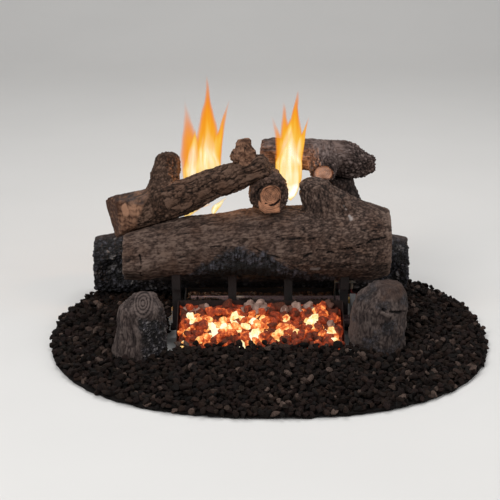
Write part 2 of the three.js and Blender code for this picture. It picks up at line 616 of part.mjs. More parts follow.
// Walls from the rim of a top surface down to a flat bottom.
function closeBelow(corners, faces, rim, bottom) {
  const start = corners.length / 3;
  const middle = [0, 0];
  for (const corner of rim) {
    corners.push(corners[3 * corner], corners[3 * corner + 1], bottom);
    middle[0] += corners[3 * corner] / rim.length;
    middle[1] += corners[3 * corner + 1] / rim.length;
  }
  corners.push(middle[0], middle[1], bottom);
  const centre = start + rim.length;
  for (let k = 0; k < rim.length; k += 1) {
    const next = (k + 1) % rim.length;
    faces.push(rim[k], start + k, start + next, rim[k], start + next, rim[next]);
    faces.push(centre, start + next, start + k);
  }
}

// The bed's top rises in lumps: every second corner of its net lies high, and the ones between lie low.
function granuleBed() {
  const [halfWidth, halfDepth] = [bed.width / 2, bed.depth / 2];
  const [rings, spokes] = [15, 66];
  const power = bed.squareness;
  const corners = [-set.x, -set.y, bed.middle];
  const faces = [];
  const rim = [];
  for (let i = 1; i <= rings; i += 1) {
    const out = i / rings;
    for (let k = 0; k < spokes; k += 1) {
      const loose = i < rings ? 0.3 : 0;
      const angle = 2 * Math.PI * (k + loose * noise(i, k)) / spokes;
      const [c, s] = [Math.abs(Math.cos(angle)), Math.abs(Math.sin(angle))];
      const reach = ((c / halfWidth) ** power + (s / halfDepth) ** power) ** (-1 / power);
      const slope = bed.rim + (bed.middle - bed.rim) * (1 - out * out);
      const side = (i + k) % 2 === 0 ? 1 : -1;
      const height = slope + (i < rings ? bed.lump * (0.35 * side + 0.3 * noise(k, i)) : 0);
      corners.push(-set.x + reach * out * Math.cos(angle), -set.y + reach * out * Math.sin(angle), height);
      const p = 1 + (i - 1) * spokes + k;
      const q = 1 + (i - 1) * spokes + (k + 1) % spokes;
      if (i === 1) faces.push(0, p, q);
      else faces.push(p - spokes, p, q, p - spokes, q, q - spokes);
      if (i === rings) rim.push(p);
    }
  }
  closeBelow(corners, faces, rim, 0);
  const geometry = new THREE.BufferGeometry();
  geometry.setAttribute('position', new THREE.BufferAttribute(new Float32Array(corners), 3));
  geometry.setIndex(faces);
  return solidOf(geometry);
}

// Embers fill the tray round their burner: chunks of mineral fibre, highest at the back.
function makeEmbers() {
  const { width, frontY, backY } = emberTray;
  const side = width / 2 - sheet - gap;
  const low = sheet + gap;
  const slope = (s, t) => THREE.MathUtils.lerp(ember.frontHeight, ember.backHeight, t ** 0.8)
    - ember.grain * (2 * s - 1) ** 4;
  const area = { fromX: -side, toX: side, fromY: frontY + sheet + gap, toY: backY - sheet - gap };
  const top = (s, t, wave) => slope(s, t) + ember.grain * wave;
  let body = heap({ ...area, columns: 16, rows: 6, bottom: low, top });
  for (let k = 0; k < ember.chunks; k += 1) {
    const s = (k + 0.5) / ember.chunks;
    const t = 0.5 + 0.36 * noise(k, 2);
    const chunk = new THREE.IcosahedronGeometry(ember.size);
    chunk.rotateX(k);
    chunk.rotateY(2 * k);
    const x = THREE.MathUtils.lerp(area.fromX + ember.size, area.toX - ember.size, s);
    const y = THREE.MathUtils.lerp(area.fromY + ember.size, area.toY - ember.size, t);
    chunk.translate(x, y, slope(s, t));
    body = body.add(solidOf(chunk));
  }
  return body.subtract(emberBurnerBody(ember.floorGap));
}

// Fine granules cover the flame burner in its pan.
function makePanGranules() {
  const { width, frontY, backY } = flamePan;
  const side = width / 2 - sheet - gap;
  const top = (s, t, wave) => flamePanFloor + granule.height + granule.grain * wave;
  const body = heap({
    fromX: -side, toX: side, fromY: frontY + sheet + gap, toY: backY - sheet - gap,
    columns: 12, rows: 4, bottom: flamePanFloor + sheet + gap, top,
  });
  return body.subtract(flameBurnerBody(ember.floorGap));
}

function makeBed() {
  const valveRoom = block(at(0, valveBay.frontY, -overrun), at(valveBay.rightX, valveBay.backY, bed.width));
  const middle = block(at(-well.halfWidth, well.frontY, -overrun), at(well.halfWidth, well.backY, bed.width));
  let body = granuleBed().subtract(middle).subtract(valveRoom).subtract(rearClear);
  const widestShare = Math.max(...stumpShares.left.radius, ...stumpShares.right.radius);
  for (const place of [stump.left, stump.right]) {
    const wide = 2 * (place.radius * widestShare + bark.furrow + bark.knuckle + bed.seatAir);
    const pocket = rod(at(place.x, place.y, bed.seat - gap), at(place.x, place.y, bed.width), wide, 24);
    body = body.subtract(place === stump.right ? pocket.subtract(behindStump(gap)) : pocket);
  }
  return body;
}

// Grate.

function makeRail(y, longer = 0) {
  const half = rail.length / 2;
  return block(at(-half, y - rail.width / 2, 0), at(half + longer, y + rail.width / 2, rail.thickness));
}

// One bar: a run over both rails, a riser, and on the outer bars a saddle for the front log.
function makeBar(x, outer) {
  const [front, back] = [bar.riserY - bar.thickness / 2, bar.riserY + bar.thickness / 2];
  const top = frontLog.z - frontLog.radius * 0.35;
  const outline = [
    [front, barLow], [bar.backY, barLow], [bar.backY, barTop], [back, barTop], [back, top], [front, top],
  ];
  const points = outline.map(([y, z]) => new THREE.Vector2(y, z));
  let steel = profileAlongX(points, x - bar.width / 2, x + bar.width / 2);
  if (outer) {
    const low = frontLog.z - frontLog.radius - saddle.thickness;
    const middle = bar.riserY + saddle.shift;
    steel = steel.add(block(at(x - bar.width / 2, middle - saddle.length / 2, low),
      at(x + bar.width / 2, middle + saddle.length / 2, top)));
  }
  return steel;
}

// Trays and burners.

function makeEmberTray() {
  const { width, frontY, backY, lip, wall } = emberTray;
  const outside = [[frontY, 0], [backY, 0], [backY, wall], [backY - lip, wall], [frontY, lip]];
  const inside = [
    [frontY + sheet, sheet], [backY - sheet, sheet],
    [backY - sheet, wall + overrun], [frontY + sheet, wall + overrun],
  ];
  const toPoints = (list) => list.map(([y, z]) => new THREE.Vector2(y, z));
  const shell = profileAlongX(toPoints(outside), -width / 2, width / 2);
  const room = profileAlongX(toPoints(inside), -width / 2 + sheet, width / 2 - sheet);
  const hole = rod(at(width / 2 - overrun, emberBurner.y, emberBurner.z),
    at(width / 2 + overrun, emberBurner.y, emberBurner.z), emberBurner.pipe + 2 * gap);
  return shell.subtract(room).subtract(hole);
}

function emberBurnerBody(grow = 0) {
  const { y, frontY, z, pipe: outer, halfLength, crossX } = emberBurner;
  const width = outer + 2 * grow;
  let body = rod(at(-halfLength - grow, y, z), at(mixer.endX + grow, y, z), width);
  body = body.add(rod(at(-halfLength - grow, frontY, z), at(halfLength + grow, frontY, z), width));
  for (const x of [-crossX, crossX]) body = body.add(rod(at(x, frontY, z), at(x, y, z), width * 0.96, 12));
  return body;
}

// Gas ports along the top of a burner, and the air window near its open end.
function cutPorts(body, { y, z, pipe: outer, halfLength }) {
  const count = Math.floor(2 * halfLength / port.pitch);
  for (let k = 0; k < count; k += 1) {
    const x = (k - (count - 1) / 2) * port.pitch;
    body = body.subtract(block(at(x - port.length / 2, y - port.width / 2, z),
      at(x + port.length / 2, y + port.width / 2, z + outer)));
  }
  return body;
}

function airWindow(y, z, outer) {
  const [x, half] = [shutter.centreX, mixer.windowLength / 2];
  return block(at(x - half, y, z - outer / 4), at(x + half, y + outer, z + outer / 4));
}

function makeEmberBurner() {
  const { y, frontY, z, pipe: outer, bore, halfLength, crossX } = emberBurner;
  const inner = (outer - bore) / 2;
  let room = rod(at(-halfLength + inner, y, z), at(mixer.endX + overrun, y, z), bore);
  room = room.add(rod(at(-halfLength + inner, frontY, z), at(halfLength - inner, frontY, z), bore));
  for (const x of [-crossX, crossX]) room = room.add(rod(at(x, frontY, z), at(x, y, z), bore * 0.96, 12));
  const body = emberBurnerBody().subtract(room).subtract(airWindow(y, z, outer));
  return cutPorts(body, { ...emberBurner, y: frontY });
}

function makeFlamePan() {
  const { width, frontY, backY, height } = flamePan;
  const top = flamePanFloor + height;
  const shell = block(at(-width / 2, frontY, flamePanFloor), at(width / 2, backY, top));
  const room = block(at(-width / 2 + sheet, frontY + sheet, flamePanFloor + sheet),
    at(width / 2 - sheet, backY - sheet, top + overrun));
  const hole = rod(at(width / 2 - overrun, flameBurner.y, flameBurner.z),
    at(width / 2 + overrun, flameBurner.y, flameBurner.z), flameBurner.pipe + 2 * gap);
  return shell.subtract(room).subtract(hole);
}

const flameBurnerBody = (grow = 0) => rod(at(-flameBurner.halfLength - grow, flameBurner.y, flameBurner.z),
  at(mixer.endX + grow, flameBurner.y, flameBurner.z), flameBurner.pipe + 2 * grow);

function makeFlameBurner() {
  const { y, z, pipe: outer, bore, halfLength } = flameBurner;
  const inner = (outer - bore) / 2;
  const room = rod(at(-halfLength + inner, y, z), at(mixer.endX + overrun, y, z), bore);
  const body = flameBurnerBody().subtract(room).subtract(airWindow(y, z, outer));
  return cutPorts(body, flameBurner);
}

// A sleeve round the mixer, with a window like the mixer's and a tab to turn it by.
function makeShutter(y, z, outer) {
  const [x, half] = [shutter.centreX, shutter.length / 2];
  const inner = outer + 2 * shutter.fit;
  const wide = inner + 2 * shutter.wall;
  const tab = block(at(x - half, y - shutter.wall / 2, z + wide / 2 - shutter.wall),
    at(x + half, y + shutter.wall / 2, z + wide / 2 + shutter.tab));
  return rod(at(x - half, y, z), at(x + half, y, z), wide).add(tab)
    .subtract(rod(at(x - half - overrun, y, z), at(x + half + overrun, y, z), inner))
    .subtract(airWindow(y, z, wide));
}

function hexBar(from, to, acrossFlats) {
  return rod(from, to, acrossFlats / Math.cos(Math.PI / 6), 6);
}

// An injector screws into the manifold; its nozzle stands in the mixer's open end.
function makeInjector(y, z) {
  const base = manifold.x - manifold.width / 2 - gap;
  const shoulder = base - injector.hexLength;
  const body = hexBar(at(base, y, z), at(shoulder, y, z), injector.hex)
    .add(rod(at(shoulder + gap, y, z), at(shoulder - injector.nozzleLength, y, z), injector.nozzle, 12));
  const tip = shoulder - injector.nozzleLength;
  return body.subtract(rod(at(base + overrun, y, z), at(tip - overrun, y, z), injector.bore, 8));
}

// Gas train.

function makeManifold() {
  const { x, width, height, frontY, backY, z } = manifold;
  const low = z - height / 2;
  return block(at(x - width / 2, frontY, low), at(x + width / 2, backY, low + height))
    .add(rod(at(x, stem.y, z), at(valve.leftX - gap, stem.y, z), manifold.stub));
}

function makeBracket() {
  const { sheet: thick, leftX, rightX, frontY, backY, height } = bracket;
  const floor = block(at(leftX, frontY, barLow), at(rightX, backY, shelfTop));
  const wall = block(at(rightX - thick, frontY, barLow), at(rightX, backY, height));
  const [inside, outside] = [rightX - thick - overrun, rightX + overrun];
  const gland = (y, diameter) => rod(at(inside, y, stem.z), at(outside, y, stem.z), diameter);
  return floor.add(wall)
    .subtract(gland(stem.y, stem.collar + 2 * bracket.collarAir))
    .subtract(gland(igniter.y, igniter.barrel + 2 * gap));
}

// Two round-head screws hold the valve bracket down on the front rail's end.
function makeBracketScrew(x) {
  const y = rail.frontY;
  const top = valveLow + bracket.head;
  return rod(at(x, y, valveLow), at(x, y, top), bracket.screw, 12, bracket.screw * 0.7);
}

function makeValve() {
  const { leftX, rightX, frontY, backY, height, boss, bossLength } = valve;
  const [middle, chamfer] = [(leftX + rightX) / 2, (rightX - leftX) / 6];
  const top = valveLow + height;
  const outline = [
    [frontY, valveLow], [backY, valveLow], [backY, top - chamfer], [backY - chamfer, top],
    [frontY + chamfer, top], [frontY, top - chamfer],
  ];
  const body = profileAlongX(outline.map(([y, z]) => new THREE.Vector2(y, z)), leftX, rightX - bossLength);
  const face = rod(at(rightX - bossLength - gap, stem.y, stem.z), at(rightX, stem.y, stem.z), boss);
  const cap = rod(at(middle, stem.y, top - gap), at(middle, stem.y, top + bossLength), boss);
  const guideEnd = rightX - stem.length - plunger.length - stem.travel - 3 * gap;
  const bore = stem.diameter + 2 * gap;
  const guide = rod(at(guideEnd, stem.y, stem.z), at(rightX + overrun, stem.y, stem.z), bore);
  return body.add(face).add(cap).subtract(guide);
}

// The plunger stands behind the stem in the valve's guide and is pushed in with it.
function makePlunger() {
  const end = valve.rightX - stem.length - gap;
  return rod(at(end - plunger.length, stem.y, stem.z), at(end, stem.y, stem.z), stem.diameter);
}

// The stem has a flat for the knob and a collar that stops it at the valve's face.
function makeStem() {
  const tip = bracket.rightX + knobWheel.stand + knobWheel.height * 0.7;
  const inner = valve.rightX - stem.length;
  const collarX = valve.rightX + stem.travel + gap;
  const flat = block(at(bracket.rightX, stem.y - stem.diameter, stem.z + stem.diameter / 2 - stem.flat),
    at(tip + overrun, stem.y + stem.diameter, stem.z + stem.diameter));
  return rod(at(inner, stem.y, stem.z), at(tip, stem.y, stem.z), stem.diameter)
    .add(rod(at(collarX, stem.y, stem.z), at(collarX + stem.collarLength, stem.y, stem.z), stem.collar))
    .subtract(flat);
}

// The knob: a skirt, a ribbed wheel and a grip bar, with the stem's socket in its back.
function makeKnob() {
  const { diameter, skirt, height, skirtHeight, grip, ribs, stand } = knobWheel;
  const back = bracket.rightX + stand;
  const line = (x) => at(x, stem.y, stem.z);
  let wheel = rod(line(back), line(back + skirtHeight), skirt, 20)
    .add(rod(line(back + skirtHeight - gap), line(back + height), diameter, 20, diameter * 0.9));
  wheel = wheel.add(block(at(back + height - gap, stem.y - grip / 2, stem.z - diameter * 0.4),
    at(back + height + grip, stem.y + grip / 2, stem.z + diameter * 0.4)));
  for (let k = 0; k < ribs; k += 1) {
    const angle = 2 * Math.PI * (k + 0.5) / ribs;
    const y = stem.y + diameter / 2 * Math.cos(angle);
    const z = stem.z + diameter / 2 * Math.sin(angle);
    const groove = rod(at(back + skirtHeight, y, z), at(back + height + overrun, y, z), grip * 0.9, 6);
    wheel = wheel.subtract(groove);
  }
  return wheel.subtract(rod(line(back - overrun), line(back + height * 0.75), stem.diameter + 2 * gap));
}

function makeIgniter() {
  const { y, barrel, length, flange, flangeLength, nut, nutLength } = igniter;
  const face = bracket.rightX + gap;
  const inner = bracket.rightX - bracket.sheet - gap;
  const line = (x) => at(x, y, stem.z);
  const tail = face + flangeLength - length;
  const socket = face + flangeLength - button.stroke * 2.4;
  return rod(line(tail), line(face + flangeLength), barrel)
    .add(rod(line(face), line(face + flangeLength), flange))
    .add(hexBar(line(inner - nutLength), line(inner), nut))
    .subtract(rod(line(socket), line(face + overrun), button.diameter + 2 * gap));
}

function makeButton() {
  const { diameter, head, headLength, stroke, stand } = button;
  const face = bracket.rightX + gap + igniter.flangeLength;
  const line = (x) => at(x, igniter.y, stem.z);
  return rod(line(face - stroke - gap), line(face + stand), diameter)
    .add(rod(line(face + stand - gap), line(face + stand + headLength), head, 16, head * 0.8));
}

function makeRegulator() {
  const { x, y, diameter, height, cap, capHeight, vent, neck } = regulator;
  const low = stem.z - height / 2;
  const neckEnd = valve.backY + gap;
  return rod(at(x, y, low), at(x, y, low + height), diameter, 20)
    .add(rod(at(x, y, low + height - gap), at(x, y, low + height + capHeight), cap, 16, cap * 0.8))
    .add(rod(at(x, y, stem.z), at(x, neckEnd, stem.z), neck))
    .add(rod(at(x + cap / 4, y, low + height), at(x + cap / 4, y, low + height + capHeight + vent), vent, 8))
    .add(hexBar(at(x, y, stem.z), at(x, y + diameter / 2 + vent, stem.z), neck));
}

function makeInlet() {
  const { hex, hexLength, nose, noseLength, bore } = inlet;
  const shoulder = inlet.startY + hexLength;
  const line = (y) => at(regulator.x, y, stem.z);
  return hexBar(line(inlet.startY), line(shoulder), hex)
    .add(rod(line(shoulder - gap), line(shoulder + noseLength), nose, 16, nose * 0.86))
    .subtract(rod(line(shoulder - hexLength / 2), line(shoulder + noseLength + overrun), bore, 12));
}

// Pilot.

function makePilotBracket() {
  const { sheet: thick, halfWidth, shelfX, shelfZ } = pilotBracket;
  const wallX = flamePan.width / 2 + gap;
  const legY = flamePan.backY - halfWidth;
  const top = shelfZ + thick;
  const leg = block(at(wallX, legY - halfWidth, barTop + 2 * gap), at(wallX + thick, legY + halfWidth, top));
  const shelf = block(at(wallX, legY - halfWidth, shelfZ), at(shelfX, legY + halfWidth, top));
  const clear = ({ x, y, diameter }) => rod(
    at(x, y, shelfZ - overrun), at(x, y, top + overrun), diameter + 2 * gap, 12,
  );
  return leg.add(shelf).subtract(clear(pilot)).subtract(clear(thermocouple)).subtract(clear(electrode));
}

function makePilot() {
  const { x, y, diameter, foot, top, hood, hoodHeight, flange, slot } = pilot;
  const rest = pilotBracket.shelfZ + pilotBracket.sheet + gap;
  const slotLow = top - hoodHeight / 2;
  return rod(at(x, y, foot), at(x, y, top), diameter, 12)
    .add(rod(at(x, y, rest), at(x, y, rest + flange), hood, 12))
    .add(rod(at(x, y, top - hoodHeight), at(x, y, top), hood, 12))
    .subtract(block(at(x - slot / 2, y - hood, slotLow), at(x + slot / 2, y + hood, top + overrun)));
}

function makeThermocouple() {
  const { x, y, diameter, foot, top, nut, nutHeight } = thermocouple;
  const rest = pilotBracket.shelfZ + pilotBracket.sheet + gap;
  return rod(at(x, y, foot), at(x, y, top), diameter, 12, diameter * 0.8)
    .add(hexBar(at(x, y, rest), at(x, y, rest + nutHeight), nut));
}

function makeElectrode() {
  const { x, y, diameter, foot, top, wire, wireReach } = electrode;
  const rest = pilotBracket.shelfZ + pilotBracket.sheet + gap;
  return rod(at(x, y, foot), at(x, y, top), diameter, 12, diameter * 0.8)
    .add(rod(at(x, y, rest), at(x, y, rest + wire), diameter * 1.3, 12))
    .add(rod(at(x, y, top - gap), at(x, y, top + wireReach), wire, 8));
}

// A lead or tube along its route.
function lay(points, diameter, steps) {
  const route = new THREE.CatmullRomCurve3(points, false, 'centripetal');
  const section = new THREE.Shape();
  section.absarc(0, 0, diameter / 2, 0, 2 * Math.PI);
  const geometry = new THREE.ExtrudeGeometry(section, {
    steps, bevelEnabled: false, extrudePath: route, curveSegments: lead.sides / 2,
  });
  return solidOf(geometry);
}

// The leads drop from the foot of each pilot piece. Two pass behind the manifold to the valve's back,
// and the ignition wire runs between manifold and valve, over the manifold's stub, to the igniter.
function makeLeads() {
  const bend = 4 * lead.pilotTube;
  const valveX = valve.leftX + bend / 3;
  const valveY = valve.backY + gap;
  const behind = manifold.backY + 3 * lead.pilotTube;
  const low = stem.z - bend * 0.6;
  const dropFrom = (piece) => [
    at(piece.x, piece.y, piece.foot - gap), at(piece.x, piece.y, piece.foot - bend / 2),
  ];
  const tube = [
    ...dropFrom(pilot), at(pilot.x + bend / 2, behind + bend / 5, stem.z - lead.pilotTube),
    at(manifold.x, behind, stem.z - lead.pilotTube), at(valve.leftX + bend / 4, behind - bend / 2, stem.z),
    at(valveX, valveY + bend, stem.z), at(valveX, valveY, stem.z),
  ];
  const sensor = [
    ...dropFrom(thermocouple), at(thermocouple.x + bend / 2, behind + bend / 2, low + bend / 2),
    at(manifold.x + bend / 2, behind, low + bend / 4), at(valveX, valveY + bend, low),
    at(valveX, valveY, low),
  ];
  const over = manifold.z + manifold.stub / 2 + 2 * lead.ignition;
  const side = (manifold.x + manifold.width / 2 + valve.leftX) / 2;
  const tail = bracket.rightX + igniter.flangeLength - igniter.length;
  const wire = [
    ...dropFrom(electrode), at(electrode.x + bend / 4, behind, over - lead.ignition),
    at(side, manifold.backY - bend / 3, over), at(side, valve.backY, over),
    at(side, valve.frontY + bend / 4, over),
    at(side + bend / 3, igniter.y + lead.ignition / 2, stem.z + lead.ignition),
    at(tail - bend / 2, igniter.y, stem.z), at(tail, igniter.y, stem.z),
  ];
  return {
    pilot_gas_tube: [lay(tube, lead.pilotTube, 22), finish.aluminium],
    thermocouple_lead: [lay(sensor, lead.thermocouple, 22), finish.copper],
    ignition_wire: [lay(wire, lead.ignition, 28), finish.redPlastic],
  };
}

// Build the set from the floor up.
add('grate_front_rail', makeRail(rail.frontY, rail.valveEnd), finish.blackSteel);
add('grate_back_rail', makeRail(rail.backY), finish.blackSteel);

const frontClear = frontLogBody(gap);
const rearClear = rearLogBody(gap);
const centreClear = centreLogBody(gap);

const frontSolid = makeFrontLog();
let rearSolid = makeRearLog();
for (let k = 0; k < bar.count; k += 1) {
  const x = (k - (bar.count - 1) / 2) * bar.pitch;
  const outer = k === 0 || k === bar.count - 1;
  const steel = makeBar(x, outer).subtract(frontClear).subtract(rearClear);
  add(`grate_bar_${k + 1}`, steel, finish.blackSteel);
  if (!outer) continue;
  const side = k === 0 ? 'left' : 'right';
  const seat = barTop - overrun / 2;
  const peg = rod(at(x, rearLog.y, seat), at(x, rearLog.y, barTop + pin.height), pin.diameter, 12);
  add(`rear_log_pin_${side}`, peg.subtract(steel.add(block(at(x - bar.width, rearLog.y - bar.width, 0),
    at(x + bar.width, rearLog.y + bar.width, barTop - gap)))), finish.blackSteel);
  const pinTop = barTop + pin.height;
  rearSolid = rearSolid.subtract(rod(at(x, rearLog.y, 0), at(x, rearLog.y, pinTop + gap), pin.bore, 12));
}

const looseLogs = {
  centre_log: makeCentreLog().subtract(frontClear).subtract(rearClear),
  top_left_log: planedOntoFront(makeTopLeftLog()).subtract(centreClear),
  rear_top_log: rearTopLogBody().subtract(centreClear).subtract(frontClear),
  left_stump: makeStump(stump.left, stumpShares.left, 14).add(knotRings(stump.left)),
  right_stump: makeRightStump(),
};
add('front_log', frontSolid, finish.bark);
add('rear_log', rearSolid, finish.barkDark);
for (const [name, solid] of Object.entries(looseLogs)) add(name, solid, finish.bark);

// The ember tray, its ladder burner, and embers heaped over the burner and up to the back wall.
add('ember_tray', makeEmberTray(), finish.blackSteel);
add('ember_burner', makeEmberBurner(), finish.stainless);
add('ember_bed', makeEmbers(), finish.ember);

// The flame pan, its burner and the granules that cover it.
add('flame_pan', makeFlamePan(), finish.panSteel);
add('flame_burner', makeFlameBurner(), finish.stainless);
add('pan_granules', makePanGranules(), finish.granule);

// Air and gas.
add('ember_air_shutter', makeShutter(emberBurner.y, emberBurner.z, emberBurner.pipe), finish.stainless);
add('flame_air_shutter', makeShutter(flameBurner.y, flameBurner.z, flameBurner.pipe), finish.stainless);
add('ember_injector', makeInjector(emberBurner.y, emberBurner.z), finish.brass);
add('flame_injector', makeInjector(flameBurner.y, flameBurner.z), finish.brass);
add('gas_manifold', makeManifold(), finish.aluminium);
add('valve_bracket', makeBracket(), finish.panSteel);
add('gas_valve', makeValve(), finish.aluminium);
add('valve_plunger', makePlunger(), finish.brass);
add('control_stem', makeStem(), finish.stainless);
add('control_knob', makeKnob(), finish.blackPlastic);
add('igniter', makeIgniter(), finish.blackPlastic);
add('igniter_button', makeButton(), finish.redPlastic);
add('pressure_regulator', makeRegulator(), finish.aluminium);
add('gas_inlet_fitting', makeInlet(), finish.brass);

// Pilot and its leads.
add('pilot_bracket', makePilotBracket(), finish.panSteel);
add('pilot_burner', makePilot(), finish.stainless);
add('thermocouple', makeThermocouple(), finish.stainless);
add('spark_electrode', makeElectrode(), finish.ceramic);
for (const [name, [solid, material]] of Object.entries(makeLeads())) add(name, solid, material);
for (const [k, side] of ['left', 'right'].entries()) {
  add(`bracket_screw_${side}`, makeBracketScrew(bracket.screwX + k * bracket.screwPitch), finish.stainless);
}

// The granule bed, with a well for the grate, trays and valve, and a seat for each stump and log end.
add('lava_granule_bed', makeBed(), finish.lava);

export default pile;
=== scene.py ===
# %% [markdown]
# # A gas log set
#
# The set is a pile of cast refractory logs on a black steel grate. Two gas burners work under it: one
# feeds the flames between the big logs, the other makes a tray of mineral-fibre embers glow. Loose
# lava granules hide the feet of it all. The solids, their places and their joints come from the
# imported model, which this script loads as a fixed frame. Everything below is about surfaces: real
# cracks and bark in the meshes, and procedural materials for the finer grain.

# %% Load the frame
import math

import bmesh
import bpy
import numpy as np
from mathutils import Matrix, Vector
from mathutils.bvhtree import BVHTree


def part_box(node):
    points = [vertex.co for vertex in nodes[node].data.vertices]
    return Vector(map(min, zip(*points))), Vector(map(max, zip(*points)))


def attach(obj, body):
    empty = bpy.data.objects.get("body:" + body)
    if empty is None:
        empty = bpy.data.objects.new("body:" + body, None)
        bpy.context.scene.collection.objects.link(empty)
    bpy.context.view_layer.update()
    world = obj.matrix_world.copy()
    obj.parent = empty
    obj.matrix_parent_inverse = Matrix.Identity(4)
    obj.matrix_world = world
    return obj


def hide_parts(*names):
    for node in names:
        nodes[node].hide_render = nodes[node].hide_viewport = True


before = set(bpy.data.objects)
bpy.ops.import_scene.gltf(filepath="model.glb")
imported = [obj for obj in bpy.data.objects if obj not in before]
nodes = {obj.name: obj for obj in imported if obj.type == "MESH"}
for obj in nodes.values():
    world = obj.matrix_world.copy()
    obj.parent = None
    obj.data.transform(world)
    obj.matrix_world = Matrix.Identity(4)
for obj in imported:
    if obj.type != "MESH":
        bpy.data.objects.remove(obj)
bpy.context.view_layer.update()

MM = 0.001
PILE_ZERO = np.array([-0.017, 0.137, 0.0])
BAR_NAMES = ["grate_bar_%d" % k for k in (1, 2, 3, 4)]


def pile(x, y, z):
    """A place in millimetres, measured between the two big logs at floor level, as a point in metres."""
    return np.array([x, y, z]) * MM + PILE_ZERO


def link_object(name, data):
    """A new object in the scene, made from a mesh, a lamp or a camera."""
    made = bpy.data.objects.new(name, data)
    bpy.context.scene.collection.objects.link(made)
    return made


# %% [markdown]
# ## Camera
#
# The photograph looks straight at the front from about twenty degrees above the floor, with a long
# lens, so near and far logs keep almost the same scale. A 108 mm lens three metres away does that.

# %% Camera
AIM = pile(-20, 0, 129)
ELEVATION = math.radians(20)
DISTANCE = 3.0

camera = link_object("photo_camera", bpy.data.cameras.new("photo_camera"))
camera.data.lens = 108
camera.data.sensor_width = 36
away = Vector((0, -math.cos(ELEVATION), math.sin(ELEVATION)))
camera.location = Vector(AIM) + DISTANCE * away
camera.rotation_euler = away.to_track_quat("Z", "Y").to_euler()
bpy.context.scene.camera = camera
print("camera at", [round(v, 3) for v in camera.location])

# %% [markdown]
# ## Shader helpers
#
# Node trees are long to write out by hand, so small helpers keep them readable. The first adds a
# node and fills or links its inputs by name. Most of the others build on it: they mix two colours,
# do a piece of arithmetic, stretch a range of numbers, or make a noise texture.

# %% Shader helpers
def node(tree, kind, inputs=None, **settings):
    made = tree.nodes.new(kind)
    for name, value in settings.items():
        setattr(made, name, value)
    for name, value in (inputs or {}).items():
        if isinstance(value, bpy.types.NodeSocket):
            tree.links.new(value, made.inputs[name])
        else:
            made.inputs[name].default_value = value
    return made


def mixed(tree, factor, first, second, blend="MIX"):
    """The colour between two colours, each a socket or a value; inputs 6 and 7 are the colour ones."""
    inputs = {0: factor, 6: first, 7: second}
    return node(tree, "ShaderNodeMix", inputs, data_type="RGBA", blend_type=blend).outputs[2]


def sums(tree, operation, first, second=0.0, clamp=False):
    """One piece of arithmetic on two sockets or numbers."""
    made = node(tree, "ShaderNodeMath", {0: first, 1: second}, operation=operation, use_clamp=clamp)
    return made.outputs[0]


def times(tree, first, second):
    """The product of two vectors, number by number."""
    return node(tree, "ShaderNodeVectorMath", {0: first, 1: second}, operation="MULTIPLY").outputs[0]


def swing(tree, value, width):
    """A value from 0 to 1 moved to lie evenly about zero, then widened."""
    return sums(tree, "MULTIPLY", sums(tree, "SUBTRACT", value, 0.5), width)


def noise_texture(tree, place, scale, detail, roughness=0.5):
    inputs = {"Vector": place, "Scale": scale, "Detail": detail, "Roughness": roughness}
    return node(tree, "ShaderNodeTexNoise", inputs).outputs["Fac"]


def spread(tree, value, low, high, to_low=0.0, to_high=1.0):
    """Maps low..high to to_low..to_high, held at both ends."""
    inputs = {"Value": value, "From Min": low, "From Max": high, "To Min": to_low, "To Max": to_high}
    return node(tree, "ShaderNodeMapRange", inputs).outputs["Result"]


def ramp(tree, value, stops):
    made = node(tree, "ShaderNodeValToRGB", {"Fac": value})
    steps = made.color_ramp.elements
    while len(steps) < len(stops):
        steps.new(0.5)
    for step, (place, colour) in zip(steps, stops):
        step.position = place
        step.color = colour
    return made.outputs["Color"]


def tone(red, green, blue):
    """A colour as a paint chart gives it, 0 to 255, as the linear values that a shader wants."""
    shares = (red / 255, green / 255, blue / 255)
    linear = [share / 12.92 if share <= 0.04045 else ((share + 0.055) / 1.055) ** 2.4 for share in shares]
    return (*linear, 1.0)


def new_group(name, inputs, outputs):
    """An empty shader node group with named sockets: (name, kind, default) in, (name, kind) out."""
    tree = bpy.data.node_groups.new(name, "ShaderNodeTree")
    for label, kind, default in inputs:
        socket = tree.interface.new_socket(name=label, in_out="INPUT", socket_type="NodeSocket" + kind)
        if default is not None:
            socket.default_value = default
    for label, kind in outputs:
        tree.interface.new_socket(name=label, in_out="OUTPUT", socket_type="NodeSocket" + kind)
    return tree, tree.nodes.new("NodeGroupInput"), tree.nodes.new("NodeGroupOutput")


def use_group(tree, group, inputs):
    return node(tree, "ShaderNodeGroup", inputs, node_tree=group)


def blank_material(name, **constants):
    """A material with one Principled shader; what is the same all over goes straight on its sockets."""
    material = bpy.data.materials.new(name)
    material.use_nodes = True
    tree = material.node_tree
    tree.nodes.clear()
    shader = tree.nodes.new("ShaderNodeBsdfPrincipled")
    output = tree.nodes.new("ShaderNodeOutputMaterial")
    tree.links.new(shader.outputs["BSDF"], output.inputs["Surface"])
    for socket, value in constants.items():
        shader.inputs[socket.replace("_", " ")].default_value = value
    return material, tree, shader


def attribute(tree, name, output="Fac"):
    return node(tree, "ShaderNodeAttribute", attribute_name=name).outputs[output]


def bump(tree, height, distance):
    inputs = {"Height": height, "Distance": distance, "Strength": 1.0}
    return node(tree, "ShaderNodeBump", inputs).outputs["Normal"]


# %% [markdown]
# ## Floor, backdrop and light
#
# A catalogue picture of the bare product wants a plain pale floor and soft light. One large sheet
# bends up behind the set, so no horizon line crosses the picture. Three big soft lamps and a dim
# world light it evenly. The camera, and what mirrors the world, see it as the same pale grey.

# %% Floor, backdrop and light
PALE = tone(214, 212, 209)
FLOOR_HALF = 6.0
BACKDROP_Y = 2.2
BACKDROP_RADIUS = 1.2
BACKDROP_TOP = 5.0


